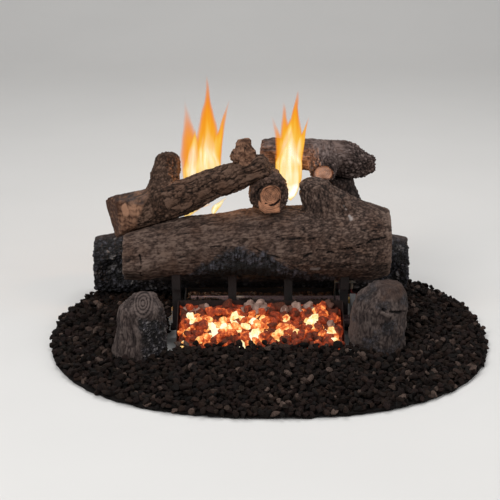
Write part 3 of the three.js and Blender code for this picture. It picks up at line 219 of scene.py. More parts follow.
def make_floor():
    bend = [(BACKDROP_Y + BACKDROP_RADIUS * math.sin(t), BACKDROP_RADIUS * (1 - math.cos(t)))
            for t in np.linspace(0, math.pi / 2, 13)]
    line = [(-FLOOR_HALF, 0.0), *bend, (BACKDROP_Y + BACKDROP_RADIUS, BACKDROP_TOP)]
    mesh = bpy.data.meshes.new("studio_sheet")
    points = [(x, y, z) for y, z in line for x in (-FLOOR_HALF, FLOOR_HALF)]
    faces = [(2 * k, 2 * k + 1, 2 * k + 3, 2 * k + 2) for k in range(len(line) - 1)]
    mesh.from_pydata(points, [], faces)
    mesh.polygons.foreach_set("use_smooth", [True] * len(faces))
    floor = link_object("studio_sheet", mesh)
    material, tree, shader = blank_material("studio paper", Roughness=0.9)
    speckle = node(tree, "ShaderNodeTexNoise", {"Scale": 40.0, "Detail": 3.0})
    paper = mixed(tree, spread(tree, speckle.outputs["Fac"], 0.3, 0.7), tone(212, 210, 207), PALE)
    tree.links.new(paper, shader.inputs["Base Color"])
    mesh.materials.append(material)


def make_lamp(name, place, size, power, target=(0, 0, 0.15)):
    lamp = bpy.data.lights.new(name, "AREA")
    lamp.shape = "RECTANGLE"
    lamp.size, lamp.size_y = size
    lamp.energy = power
    holder = link_object(name, lamp)
    holder.location = place
    holder.rotation_euler = (Vector(place) - Vector(target)).to_track_quat("Z", "Y").to_euler()


def make_world():
    world = bpy.data.worlds.new("studio")
    bpy.context.scene.world = world
    world.use_nodes = True
    tree = world.node_tree
    tree.nodes.clear()
    path = tree.nodes.new("ShaderNodeLightPath")
    seen = sums(tree, "MAXIMUM", path.outputs["Is Camera Ray"], path.outputs["Is Glossy Ray"])
    light = node(tree, "ShaderNodeBackground", {"Color": (0.85, 0.87, 0.9, 1), "Strength": 0.42})
    view = node(tree, "ShaderNodeBackground", {"Color": PALE, "Strength": 0.95})
    both = tree.nodes.new("ShaderNodeMixShader")
    output = tree.nodes.new("ShaderNodeOutputWorld")
    tree.links.new(seen, both.inputs[0])
    tree.links.new(light.outputs[0], both.inputs[1])
    tree.links.new(view.outputs[0], both.inputs[2])
    tree.links.new(both.outputs[0], output.inputs["Surface"])


bpy.context.scene.view_settings.view_transform = "Standard"
make_floor()
make_world()
make_lamp("key_softbox", (-1.5, -1.7, 2.1), (1.6, 1.6), 52)
make_lamp("fill_softbox", (1.9, -1.2, 1.3), (1.8, 1.4), 20)
make_lamp("top_softbox", (0.2, 0.9, 2.4), (1.8, 1.2), 26)
print("studio ready")

# %% [markdown]
# ## Noise on points
#
# Bark, char and stones all start from noise, read at the points of a mesh. Value noise is enough:
# a repeatable random number at each corner of a grid, blended smoothly in between. Layers of it at
# doubled fineness give a fractal. A grid stretched along the grain turns blobs into furrows.

# %% Noise on points
def lattice(x, y, z, seed):
    """A repeatable number from 0 to 1 for each corner of a whole-numbered grid."""
    mixed_up = (x * 73856093) ^ (y * 19349663) ^ (z * 83492791) ^ (seed * 2654435761)
    mixed_up = ((mixed_up ^ (mixed_up >> 15)) & 0x7FFFFFFF) * 1103515245
    mixed_up = ((mixed_up ^ (mixed_up >> 12)) & 0x7FFFFFFF) * 60493
    return ((mixed_up ^ (mixed_up >> 9)) & 0xFFFFFF) / 0xFFFFFF


def noise(points, seed=0):
    """Smooth noise from -1 to 1, one cell to a unit."""
    corner = np.floor(points).astype(np.int64)
    part = points - corner
    part = part * part * (3 - 2 * part)
    total = np.zeros(len(points))
    for dx in (0, 1):
        for dy in (0, 1):
            for dz in (0, 1):
                share = np.abs(1 - dx - part[:, 0]) * np.abs(1 - dy - part[:, 1])
                share = share * np.abs(1 - dz - part[:, 2])
                total += share * lattice(corner[:, 0] + dx, corner[:, 1] + dy, corner[:, 2] + dz, seed)
    return 2 * total - 1


def layered(points, layers=3, seed=0):
    total, weight = np.zeros(len(points)), 0.0
    for k in range(layers):
        total += noise(points * 2**k + 17.3 * k, seed + k) * 0.5**k
        weight += 0.5**k
    return total / weight


def ridged(points, layers=2, seed=0):
    """From 0 to 1, with sharp narrow valleys where the noise passes through zero."""
    total, weight = np.zeros(len(points)), 0.0
    for k in range(layers):
        total += np.abs(noise(points * 2**k + 5.7 * k, seed + k)) ** 0.7 * 0.5**k
        weight += 0.5**k
    return np.minimum(total / weight * 1.6, 1)


def cells(points, seed=0):
    """Distances to the nearest and second nearest of a scatter of points, and the nearest one's number."""
    corner = np.floor(points).astype(np.int64)
    first = np.full(len(points), 9.0)
    second = np.full(len(points), 9.0)
    owner = np.zeros(len(points))
    for dx in (-1, 0, 1):
        for dy in (-1, 0, 1):
            for dz in (-1, 0, 1):
                x, y, z = corner[:, 0] + dx, corner[:, 1] + dy, corner[:, 2] + dz
                spot = np.stack([lattice(x, y, z, seed + k) for k in (1, 2, 3)], axis=1)
                gap = np.linalg.norm(np.stack([x, y, z], axis=1) + spot - points, axis=1)
                closer = gap < first
                second = np.where(closer, first, np.minimum(second, gap))
                owner = np.where(closer, lattice(x, y, z, seed + 4), owner)
                first = np.where(closer, gap, first)
    return first, second, owner


def smooth_step(value, low, high):
    t = np.clip((value - low) / (high - low), 0, 1)
    return t * t * (3 - 2 * t)


# %% [markdown]
# ## From a packed log to a carved one
#
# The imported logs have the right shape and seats, but few faces. A carved log starts as a copy of
# one: a voxel remesh gives it an even skin of small faces, and a little smoothing melts the facets.
# Then each point moves along its normal by a height worked out from where it lies on the log. For
# that, a point is described by its limb: how far along it, and where across it. The same three
# numbers are stored on the mesh, so that the material's grain follows each limb too.

# %% Skins and points
def points_of(mesh):
    flat = np.empty(len(mesh.vertices) * 3)
    mesh.vertices.foreach_get("co", flat)
    return flat.reshape(-1, 3)


def normals_of(mesh):
    flat = np.empty(len(mesh.vertices) * 3)
    mesh.vertex_normals.foreach_get("vector", flat)
    return flat.reshape(-1, 3)


def store(mesh, name, values):
    kind, field = ("FLOAT_VECTOR", "vector") if values.ndim == 2 else ("FLOAT", "value")
    layer = mesh.attributes.new(name, kind, "POINT")
    layer.data.foreach_set(field, values.astype(np.float32).ravel())


def tree_of(names):
    """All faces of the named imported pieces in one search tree."""
    corners, faces = [], []
    for name in names:
        mesh = nodes[name].data
        start = len(corners)
        corners.extend(v.co for v in mesh.vertices)
        faces.extend([start + i for i in polygon.vertices] for polygon in mesh.polygons)
    return BVHTree.FromPolygons(corners, faces)


def settle(piece):
    """Applies all modifiers of a piece to its mesh."""
    settled = bpy.data.meshes.new_from_object(piece.evaluated_get(bpy.context.evaluated_depsgraph_get()))
    piece.modifiers.clear()
    piece.data = settled


def fine_skin(node_name, name, voxel, soften):
    """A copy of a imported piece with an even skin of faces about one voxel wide."""
    made = link_object(name, nodes[node_name].data.copy())
    remesh = made.modifiers.new("even skin", "REMESH")
    remesh.mode = "VOXEL"
    remesh.voxel_size = voxel
    smooth = made.modifiers.new("melt the facets", "SMOOTH")
    smooth.factor = 0.5
    smooth.iterations = soften
    settle(made)
    made.data.materials.clear()
    return made


# %% Limbs
class Limb:
    """A straight stretch of wood between two points, with its radius at each end."""

    def __init__(self, start, end, start_radius, end_radius):
        self.start, self.radii = start, (start_radius, end_radius)
        self.length = np.linalg.norm(end - start)
        self.axis = (end - start) / self.length
        helper = np.array([0, 0, 1.0]) if abs(self.axis[2]) < 0.8 else np.array([0, 1.0, 0])
        self.across = np.cross(self.axis, helper)
        self.across /= np.linalg.norm(self.across)
        self.rise = np.cross(self.across, self.axis)

    def read(self, points):
        """Where each point lies in the limb's own directions, and how far outside the limb it is."""
        offset = points - self.start
        along = offset @ self.axis
        held = np.clip(along, 0, self.length)
        radius = self.radii[0] + (self.radii[1] - self.radii[0]) * held / self.length
        outside = np.linalg.norm(offset - held[:, None] * self.axis, axis=1) - radius
        return np.stack([along, offset @ self.across, offset @ self.rise], axis=1), outside


# Each limb's grain starts this many metres from the last one's, so no two limbs look alike.
LIMB_SHIFT = 0.37


class Wood:
    """What a log's carving needs to know about its points: places, nearest limb, grain place."""

    def __init__(self, mesh, limbs):
        self.points, self.normals = points_of(mesh), normals_of(mesh)
        reads = [limb.read(self.points) for limb in limbs]
        outside = np.stack([out for _, out in reads], axis=1)
        self.limb = outside.argmin(axis=1)
        self.place = np.zeros_like(self.points)
        for k, (spot, _) in enumerate(reads):
            self.place[self.limb == k] = spot[self.limb == k] + LIMB_SHIFT * k
        self.along = self.place[:, 0] - LIMB_SHIFT * self.limb
        self.skin = BVHTree.FromPolygons([v.co for v in mesh.vertices], [p.vertices for p in mesh.polygons])

    def in_set(self):
        """The points' x, y and z in millimetres, as pile takes them."""
        return ((self.points - PILE_ZERO) / MM).T

    def near(self, centre, size, ragged=0.25):
        """A mask that is 1 at a place and fades to 0 at its edge; size is one or three half widths."""
        away = np.linalg.norm((self.points - centre) / (np.array(size) * MM), axis=1)
        return smooth_step(away + ragged * noise(self.points / 0.008), 1.1, 0.7)

    def crack(self, line, width, depth, ragged=0.5, seed=0):
        """How deep a crack cuts at each point; the line's corners are pulled onto the surface first."""
        beads = []
        for start, end in zip(line, line[1:]):
            count = max(2, int(np.linalg.norm(end - start) / 0.002))
            beads.extend(start + (end - start) * t for t in np.linspace(0, 1, count))
        beads = np.array([self.skin.find_nearest(Vector(bead))[0] for bead in beads])
        for size, sway in ((0.014, 0.0026), (0.005, 0.0012)):
            beads = beads + sway * np.stack([noise(beads / size, seed + k) for k in range(3)], axis=1)
        reach = width * 2.5
        low, high = beads.min(axis=0) - reach, beads.max(axis=0) + reach
        box = np.all((self.points > low) & (self.points < high), axis=1)
        inside = np.flatnonzero(box)
        cut = np.zeros(len(self.points))
        if len(inside):
            gaps = np.linalg.norm(self.points[inside, None, :] - beads[None, :, :], axis=2).min(axis=1)
            swell = layered(self.points[inside] / 0.007, 2, seed + 9)
            edge = width * np.maximum(0.15, 1 + ragged * swell * 1.6)
            cut[inside] = depth * np.clip(1 - gaps / edge, 0, 1) ** 0.7
        return cut


def stretched(place, along, across):
    """Grain coordinates: one unit is `along` metres with the grain and `across` metres over it."""
    return place / np.array([along, across, across])


# %% [markdown]
# Carving stops short of what a log touches, so seats stay where the solid model puts them. The
# distance to the neighbours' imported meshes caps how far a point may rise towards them.

# %% Carve
NEIGHBOUR_REACH = 0.02


def room_beside(points, names):
    """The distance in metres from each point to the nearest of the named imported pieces, up to the reach."""
    tree = tree_of(names)
    hits = (tree.find_nearest(point, NEIGHBOUR_REACH) for point in points.tolist())
    return np.array([NEIGHBOUR_REACH if hit[3] is None else hit[3] for hit in hits])


def carve(piece, wood, height, neighbours):
    """Moves the points along their normals by height, in metres, but not into the neighbours."""
    if neighbours:
        height = np.minimum(height, room_beside(wood.points, neighbours) * 0.5 - 0.0001)
    mesh = piece.data
    mesh.vertices.foreach_set("co", (wood.points + wood.normals * height[:, None]).ravel())
    mesh.update()
    mesh.polygons.foreach_set("use_smooth", [True] * len(mesh.polygons))


# %% [markdown]
# Three kinds of bark cover the set. Weathered bark is a thin skin with fine ridges along the grain.
# Furrowed bark is thick: deep furrows braid along the grain, and the ridges between them have split
# across into chips. Crazed bark has been baked by a fire into small uneven lumps. Each returns a
# height in metres and a relief from about -1 to 1, which the material uses to choose between the
# colours of hollows, faces and crests: dark in hollows and cracks, pale on crests. That is partly the
# cast logs' own paint and partly painted shade and painted highlight. Nothing in bark is straight, so
# each one first bends its grain coordinates with slow and quick noise.

# %% Bark heights
def bent(wood, seed, slow=0.0035, quick=0.0011):
    """The grain coordinates, shaken out of line by two sizes of noise."""
    far = np.stack([noise(wood.points / 0.026, seed + k) for k in (40, 41, 42)], axis=1)
    near = np.stack([noise(wood.points / 0.006, seed + k) for k in (50, 51, 52)], axis=1)
    return wood.place + slow * far + quick * near


def weathered_bark(wood, seed, long=0.026, wide=0.0046, depth=0.0016):
    wave = bent(wood, seed)
    stripes = ridged(stretched(wave, long, wide), 3, seed)
    fibres = layered(stretched(wave, 0.5 * long, 0.5 * wide), 2, seed + 10)
    plates = ridged(stretched(wave, 2.6 * long, 3.6 * wide), 2, seed + 30)
    grit = layered(wood.points / 0.0052, 2, seed + 60)
    swell = layered(wood.points / 0.045, 2, seed + 20)
    height = depth * (stripes - 0.5 + 0.35 * fibres + 0.8 * (plates - 0.6) + 0.3 * grit) + 0.0014 * swell
    relief = 0.8 * (stripes - 0.5) + 0.4 * fibres + 0.45 * (plates - 0.6) + 0.42 * grit + 0.2 * swell
    return height, relief


def furrowed_bark(wood, seed, long=0.052, wide=0.0105, depth=0.0042):
    wave = bent(wood, seed, 0.0045, 0.0016)
    furrow = ridged(stretched(wave, long, wide), 2, seed)
    first, second, owner = cells(stretched(wave, 0.30 * long, 0.62 * wide), seed + 1)
    chip = smooth_step(second - first, 0.0, 0.42)
    grit = layered(wood.points / 0.0042, 2, seed + 3)
    chips = 0.32 * (chip - 0.6)
    height = depth * (0.95 * (furrow - 0.5) + chips + 0.4 * (owner - 0.5) * chip) + 0.0006 * grit
    relief = 1.15 * (furrow - 0.5) + 0.6 * (chip - 0.6) + 0.4 * (owner - 0.5) + 0.45 * grit
    return height, relief


def crazed_bark(wood, seed, size=0.0075, depth=0.0026, longer=1.35):
    wave = bent(wood, seed, 0.003, 0.0017)
    first, second, owner = cells(stretched(wave, longer * size, size), seed)
    lump = smooth_step(second - first, 0.0, 0.5)
    _, _, step = cells(stretched(wave, 3 * size, 2.2 * size), seed + 5)
    grit = layered(wood.points / 0.0036, 2, seed + 3)
    height = depth * (lump - 0.6 + 0.9 * (owner - 0.5) + 0.5 * (step - 0.5)) + 0.0006 * grit
    relief = 0.75 * (lump - 0.6) + 0.7 * (owner - 0.5) + 0.3 * (step - 0.5) + 0.5 * grit
    return height, relief


def char_blocks(wood, seed, size=0.011, depth=0.0032):
    """Charred wood shrinks and cracks into small blocks, longest with the grain."""
    first, second, owner = cells(stretched(wood.place, 1.4 * size, size), seed)
    block = smooth_step(second - first, 0.0, 0.3)
    return depth * (block - 0.6 + 0.6 * (owner - 0.5)), block


def blend(mask, first, second):
    return first * (1 - mask) + second * mask


# %% [markdown]
# ## Shared surface effects
#
# Every log is the same cast material, brushed with different paints. So the effects are node groups
# with named inputs, placed in each material with that log's own colours: grain bark, char, cut wood.

# %% Node group: bark paint
def make_bark_group():
    sockets = [
        ("Place", "Vector", None), ("Relief", "Float", 0.0), ("Ridge", "Color", (0.3, 0.24, 0.2, 1)),
        ("Body", "Color", (0.15, 0.11, 0.09, 1)), ("Hollow", "Color", (0.03, 0.02, 0.015, 1)),
        ("Tint", "Color", (0.2, 0.1, 0.05, 1)), ("Streak", "Float", 1.0),
    ]
    outputs = [("Colour", "Color"), ("Height", "Float"), ("Roughness", "Float")]
    tree, given, out = new_group("Bark paint", sockets, outputs)
    place = given.outputs["Place"]
    with_grain = times(tree, place, (0.16, 1.0, 1.0))
    fine = noise_texture(tree, with_grain, 360.0, 5.0, 0.62)
    broad = noise_texture(tree, with_grain, 85.0, 4.0, 0.6)
    patch = noise_texture(tree, place, 24.0, 3.0, 0.55)
    speck = noise_texture(tree, place, 300.0, 3.0)
    streak = swing(tree, fine, given.outputs["Streak"])
    level = sums(tree, "ADD", given.outputs["Relief"], sums(tree, "MULTIPLY", streak, 1.5))
    level = sums(tree, "ADD", level, swing(tree, broad, 0.9))
    # Hollows and cracks take the dark colour and crests the pale one: partly the logs' paint, partly painted
    # shade and painted highlight.
    low = mixed(tree, spread(tree, level, -0.75, -0.1), given.outputs["Hollow"], given.outputs["Body"])
    high = mixed(tree, spread(tree, level, -0.1, 0.6), low, given.outputs["Ridge"])
    tinting = spread(tree, patch, 0.45, 0.7, 0.0, 0.6)
    tinted = mixed(tree, tinting, high, given.outputs["Tint"], "MULTIPLY")
    flecks = spread(tree, speck, 0.6, 0.74, 0.0, 0.5)
    flecked = mixed(tree, flecks, tinted, given.outputs["Ridge"])
    tree.links.new(flecked, out.inputs["Colour"])
    height = sums(tree, "ADD", sums(tree, "MULTIPLY", fine, 0.7),
                  sums(tree, "MULTIPLY", speck, 0.3))
    tree.links.new(height, out.inputs["Height"])
    tree.links.new(spread(tree, level, -0.5, 0.6, 0.98, 0.82), out.inputs["Roughness"])
    return tree


BARK_PAINT = make_bark_group()
print("bark paint ready")


# %% Node group: char
def make_char_group():
    sockets = [("Place", "Vector", None), ("Block", "Float", 0.5), ("Ash", "Color", tone(100, 98, 106))]
    outputs = [("Colour", "Color"), ("Height", "Float"), ("Roughness", "Float")]
    tree, given, out = new_group("Char", sockets, outputs)
    place = given.outputs["Place"]
    flakes = node(tree, "ShaderNodeTexVoronoi", {"Vector": place, "Scale": 260.0},
                  feature="DISTANCE_TO_EDGE")
    soot = noise_texture(tree, place, 90.0, 5.0, 0.65)
    black = mixed(tree, soot, tone(3, 3, 2), tone(23, 20, 20))
    dusty = spread(tree, soot, 0.42, 0.66, 0.0, 0.75)
    raised = sums(tree, "MULTIPLY", given.outputs["Block"], dusty)
    tree.links.new(mixed(tree, raised, black, given.outputs["Ash"]), out.inputs["Colour"])
    tree.links.new(spread(tree, flakes.outputs["Distance"], 0.0, 0.3), out.inputs["Height"])
    tree.links.new(spread(tree, soot, 0.3, 0.7, 0.58, 0.92), out.inputs["Roughness"])
    return tree


CHAR = make_char_group()


# %% Node group: cut wood
WOOD_PALE = tone(190, 150, 125)
WOOD_DARK = tone(120, 76, 52)


def make_wood_group():
    sockets = [("Place", "Vector", None), ("Ring", "Float", 0.0), ("Shade", "Float", 0.5),
               ("Pale", "Color", WOOD_PALE), ("Dark", "Color", WOOD_DARK)]
    outputs = [("Colour", "Color"), ("Height", "Float"), ("Roughness", "Float")]
    tree, given, out = new_group("Cut wood", sockets, outputs)
    place = given.outputs["Place"]
    wobble = noise_texture(tree, place, 60.0, 3.0)
    ring = sums(tree, "ADD", sums(tree, "MULTIPLY", given.outputs["Ring"], 300.0),
                sums(tree, "MULTIPLY", wobble, 2.5))
    wave = sums(tree, "ABSOLUTE", sums(tree, "SINE", sums(tree, "MULTIPLY", ring, math.pi)))
    stain = noise_texture(tree, place, 110.0, 5.0, 0.65)
    level = sums(tree, "ADD", sums(tree, "MULTIPLY", wave, 0.3), sums(tree, "MULTIPLY", stain, 0.9))
    level = sums(tree, "ADD", level, sums(tree, "SUBTRACT", given.outputs["Shade"], 0.5))
    colour = mixed(tree, spread(tree, level, 0.3, 1.05), given.outputs["Dark"], given.outputs["Pale"])
    tree.links.new(colour, out.inputs["Colour"])
    tree.links.new(level, out.inputs["Height"])
    tree.links.new(spread(tree, stain, 0.3, 0.7, 0.75, 0.92), out.inputs["Roughness"])
    return tree


CUT_WOOD = make_wood_group()


# %% Material: a painted log
def log_material(name, ridge, body, hollow, tint, streak=1.0, pale=WOOD_PALE, dark=WOOD_DARK):
    """Bark all over; char, cut wood and ash come in where the mesh's own masks say so."""
    material, tree, shader = blank_material(name, Specular_IOR_Level=0.25)
    place = attribute(tree, "grain", "Vector")
    bark = use_group(tree, BARK_PAINT, {
        "Place": place, "Relief": attribute(tree, "relief"), "Ridge": ridge, "Body": body, "Hollow": hollow,
        "Tint": tint, "Streak": streak,
    })
    char = use_group(tree, CHAR, {"Place": place, "Block": attribute(tree, "block")})
    wood = use_group(tree, CUT_WOOD, {
        "Place": place, "Ring": attribute(tree, "ring"), "Shade": attribute(tree, "shade"),
        "Pale": pale, "Dark": dark,
    })
    chosen = {}
    for socket in ("Colour", "Height", "Roughness"):
        part = mixed(tree, attribute(tree, "cut"), bark.outputs[socket], wood.outputs[socket])
        chosen[socket] = mixed(tree, attribute(tree, "char"), part, char.outputs[socket])
    ash = mixed(tree, attribute(tree, "ash"), chosen["Colour"], tone(176, 168, 164))
    tree.links.new(ash, shader.inputs["Base Color"])
    tree.links.new(chosen["Roughness"], shader.inputs["Roughness"])
    tree.links.new(bump(tree, chosen["Height"], 0.0012), shader.inputs["Normal"])
    return material


# %% [markdown]
# One function carries a log through every step. What makes each log itself is a short shape function
# of its own: it reads the log's points and gives back a height, and the masks for its material.

# %% The middle of a sawn end
def from_heart(wood, limb, heart):
    """From the heart of a sawn end to each point: the step, its length along the limb, and the rest."""
    offset = wood.points - heart
    inward = offset @ limb.axis
    return offset, inward, offset - inward[:, None] * limb.axis


# %% A log from its shape function
MASKS = ("relief", "char", "block", "cut", "ring", "shade", "ash")


def carved_log(node_name, body, limbs, shape, material, neighbours, voxel=0.0018, soften=6):
    piece = fine_skin(node_name, node_name + "_carved", voxel, soften)
    wood = Wood(piece.data, limbs)
    made = shape(wood)
    carve(piece, wood, made["height"], neighbours)
    store(piece.data, "grain", wood.place)
    for mask in MASKS:
        values = made.get(mask)
        store(piece.data, mask, np.zeros(len(wood.points)) if values is None else values)
    piece.data.materials.append(material)
    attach(piece, body)
    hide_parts(node_name)
    print(piece.name, len(piece.data.polygons), "faces")


# %% [markdown]
# ## The front log
#
# The biggest casting, and the one the eye rests on. Its bark is a thin weathered skin with fine
# lengthwise grain, a few long cracks at the thick right end and one upright crack near the left end.
# A knot pit sits above a burnt-out hollow. The hump on the right is a broken branch with its own
# grain, so it is a second limb.

# %% Front log
FRONT_CRACKS = [
    ([pile(80, -150, 169), pile(95, -151, 177), pile(109, -151, 185), pile(118, -150, 183)], 0.0023, 0.006),
    ([pile(128, -150, 177), pile(160, -149, 183), pile(173, -148, 190), pile(211, -145, 201),
      pile(240, -142, 206)], 0.0019, 0.006),
    ([pile(147, -150, 165), pile(188, -151, 169), pile(236, -148, 171)], 0.0014, 0.0035),
    ([pile(196, -146, 222), pile(214, -144, 224), pile(232, -142, 220)], 0.0018, 0.003),
    ([pile(-231, -118, 164), pile(-229, -122, 150), pile(-231, -118, 132), pile(-228, -110, 118)],
     0.0019, 0.005),
    ([pile(-160, -126, 152), pile(-134, -130, 147), pile(-112, -132, 150)], 0.0017, 0.003),
    ([pile(-96, -138, 186), pile(-74, -140, 190), pile(-52, -142, 184)], 0.0020, 0.0035),
    ([pile(-14, -150, 184), pile(8, -150, 172), pile(34, -152, 168)], 0.0024, 0.004),
    ([pile(30, -150, 212), pile(62, -150, 206), pile(84, -150, 210)], 0.0018, 0.003),
]
CHAR_EDGE_X = [-158, -136, -118, -100, -84, -66, -48, -30, -12, 4, 20, 38, 58, 80, 116, 150]
CHAR_EDGE_Z = [112, 128, 142, 154, 166, 180, 186, 187, 172, 180, 174, 160, 148, 139, 124, 112]


def front_log_shape(wood):
    height, relief = weathered_bark(wood, 5, long=0.016, wide=0.0042)
    crackle, crackle_relief = crazed_bark(wood, 11, 0.0052, 0.0013, 1.7)
    share = 0.3 + 0.35 * smooth_step(wood.points[:, 0] + 0.03 * noise(wood.points / 0.05, 12), -0.02, 0.08)
    height, relief = blend(share, height, crackle), 1.35 * blend(share, relief, crackle_relief)
    cracks = np.zeros(len(wood.points))
    for line, width, depth in FRONT_CRACKS:
        cracks = np.maximum(cracks, wood.crack(line, width, depth, seed=21))
    pit = 0.7 * wood.near(pile(-33, -141, 194), (5, 12, 8))
    set_x, _, set_z = wood.in_set()
    edge = np.interp(set_x, CHAR_EDGE_X, CHAR_EDGE_Z, left=100, right=104)
    ragged = 7 * noise(wood.points / np.array([0.010, 0.02, 0.04]), 9) + 5 * noise(wood.points / 0.0045, 10)
    burnt = smooth_step(edge - set_z + ragged, -4, 9)
    shrunk, _ = char_blocks(wood, 31, 0.0085)
    upright = wood.points + 0.003 * np.stack([noise(wood.points / 0.012, 35 + k) for k in range(3)], axis=1)
    streaks = ridged(upright / np.array([0.0058, 0.03, 0.034]), 2, 33)
    # Grey streaks near the top of the char, through the block mask: partly ash, partly painted highlight.
    ash_and_highlight_band = 1 - smooth_step(edge - set_z + ragged, 16, 38)
    # rim pales the bark round the edge of the right end: a painted highlight.
    rim = smooth_step(set_x + 5 * noise(wood.points / 0.02, 15), 238, 246) * (wood.limb == 0)
    height = blend(burnt, height - cracks, 0.5 * shrunk + 0.0042 * (streaks - 0.6))
    ash_line = [pile(160, -105, 259), pile(167, -115, 250), pile(172, -125, 241)]
    ash = wood.crack(ash_line, 0.0026, 0.7, 0.8, seed=17)
    ash = ash + 0.3 * wood.near(pile(104, -146, 142), (8, 12, 3.5), 0.8)
    return {
        "height": height - 0.003 * pit,
        "relief": np.clip(relief + 0.45 * rim - cracks / 0.0025 - 0.9 * pit, -1.6, 1.1),
        "char": np.clip(burnt + 0.6 * pit, 0, 1), "block": np.clip(1.9 * ash_and_highlight_band * streaks ** 2, 0, 1),
        "ash": np.clip(ash, 0, 0.7),
    }


front_limbs = [
    Limb(pile(-265, -75, 147), pile(250, -75, 178), 0.046, 0.076),
    Limb(pile(150, -75, 160), pile(100, -66, 300), 0.052, 0.034),
]
front_bark = log_material("front log bark", ridge=tone(102, 84, 74), body=tone(62, 47, 40),
                          hollow=tone(18, 12, 9), tint=tone(208, 178, 152))
carved_log("front_log", "root", front_limbs, front_log_shape, front_bark,
           ("centre_log", "top_left_log", "rear_top_log", "grate_bar_1", "grate_bar_4"))


# %% [markdown]
# ## The rear log
#
# Mostly hidden. Both ends are charred black where the flames reach them, with small grey flakes, partly
# ash and partly painted highlight, and its two limbs have crazed, pebbly bark. Its lower front is black
# too, partly char and partly painted shade.

# %% Rear log
def rear_log_shape(wood):
    height, relief = weathered_bark(wood, 51)
    pebbles, pebble_relief = crazed_bark(wood, 57, 0.0060, 0.0020)
    on_limb = (wood.limb > 0).astype(float)
    height, relief = blend(on_limb, height, pebbles), blend(on_limb, relief, pebble_relief)
    set_x, set_y, set_z = wood.in_set()
    left = smooth_step(-238 + 18 * noise(wood.points / 0.03, 3) - set_x, 0, 24)
    right = smooth_step(set_x - 236 + 18 * noise(wood.points / 0.03, 4), 0, 24)
    front = smooth_step(70 - set_y, -12, 18)
    # Char on the lower front: partly real char, partly painted shade below the log.
    char_and_shade_below = 0.8 * smooth_step(62 - set_z, -6, 16)
    burnt = np.clip((left + right) * front + char_and_shade_below * front, 0, 1) * (1 - on_limb)
    # Raised char blocks turn grey through the block mask, and pale flakes lie on them: partly ash, partly
    # painted highlight.
    shrunk, block_relief = crazed_bark(wood, 53, 0.0070, 0.0030, 1.2)
    block = np.clip(0.5 + 0.9 * block_relief, 0, 1)
    flakes = burnt * smooth_step(noise(wood.points / 0.012, 61), 0.35, 0.7) * block
    height = blend(burnt, height, shrunk)
    return {"height": height, "relief": relief, "char": burnt, "block": block, "ash": 0.4 * flakes}


rear_limbs = [
    Limb(pile(-337, 75, 78), pile(302, 75, 78), 0.060, 0.058),
    Limb(pile(15, 75, 90), pile(18, 75, 229), 0.044, 0.032),
    Limb(pile(207, 75, 93), pile(142, 75, 285), 0.046, 0.033),
]
rear_bark = log_material("rear log bark", ridge=tone(85, 73, 68), body=tone(52, 41, 38),
                         hollow=tone(17, 12, 10), tint=tone(205, 185, 170))
carved_log("rear_log", "root", rear_limbs, rear_log_shape, rear_bark,
           ("centre_log", "rear_top_log", "top_left_log", *BAR_NAMES))


# %% [markdown]
# ## The top left log
#
# A young trunk that leans across the pile. It has deep bark, in long plates with dark furrows
# between them. Its left end is hewn with an axe, so the bark gives way to brown and tan wood with a
# pale chip. A fork stands up near the left end, and a broken twig with two knuckles at the right end.

# %% Top left log
def top_left_shape(wood):
    height, relief = furrowed_bark(wood, 71, long=0.036, wide=0.0064, depth=0.0030)
    pebbles, pebble_relief = crazed_bark(wood, 77, 0.0054, 0.0015)
    fork = (wood.limb == 1).astype(float)
    twig = (wood.limb == 2).astype(float)
    height, relief = blend(fork, height, pebbles), blend(fork, 1.25 * relief, 0.75 * pebble_relief)
    set_x, _, set_z = wood.in_set()
    hewn_edge = -236 + 0.35 * (set_z - 214) + 5 * noise(wood.points / 0.02, 6)
    hewn = smooth_step(hewn_edge - set_x, -3, 5) * (1 - fork) * (1 - twig)
    end_grain = ridged(wood.points / np.array([0.0048, 0.012, 0.026]), 2, 79)
    chip = wood.near(pile(-261, -50, 229), (8, 30, 14), 0.35)
    facet = smooth_step(set_x + 276, -3, 3)
    folds = ridged(stretched(wood.place, 0.006, 0.016), 2, 83)
    shade = 0.10 + 0.22 * facet + 0.75 * chip + 0.32 * (end_grain - 0.5)
    shade = shade + 0.25 * smooth_step(set_x, -262, -248) * smooth_step(set_z, 214, 234)
    cut = np.clip(hewn + 0.85 * twig * smooth_step(relief + 0.55, -0.2, 0.35), 0, 1)
    height = blend(hewn, height, 0.0009 * (end_grain - 0.6) + 0.0012 * chip)
    knobs, knob_relief = crazed_bark(wood, 87, 0.0062, 0.0022)
    height = blend(twig, height, 0.0012 * (folds - 0.6) + 0.35 * knobs)
    patchy = 0.75 + 0.5 * noise(wood.points / 0.007, 9)
    charred = hewn * smooth_step(set_z - 244 + 4 * noise(wood.points / 0.01, 8), -3, 5) * patchy
    return {
        "height": height, "relief": relief, "cut": cut,
        "shade": blend(twig, shade, 0.25 + 0.3 * folds + 0.3 * knob_relief),
        "char": np.clip(0.8 * charred, 0, 1), "block": 0.4 * charred, "ring": wood.points[:, 2] * 0.3,
    }


top_left_limbs = [
    Limb(pile(-266, -24, 213), pile(12, -83, 331), 0.040, 0.023),
    Limb(pile(-190, -42, 245), pile(-181, 16, 326), 0.036, 0.024),
    Limb(pile(-22, -76, 330), pile(-33, -66, 386), 0.020, 0.012),
]
top_bark = log_material("top log bark", ridge=tone(93, 71, 58), body=tone(55, 38, 28),
                        hollow=tone(17, 9, 5), tint=tone(215, 186, 160),
                        pale=tone(150, 111, 87), dark=tone(58, 33, 19))
carved_log("top_left_log", "top_left_log", top_left_limbs, top_left_shape, top_bark,
           ("front_log", "centre_log"), voxel=0.0015)


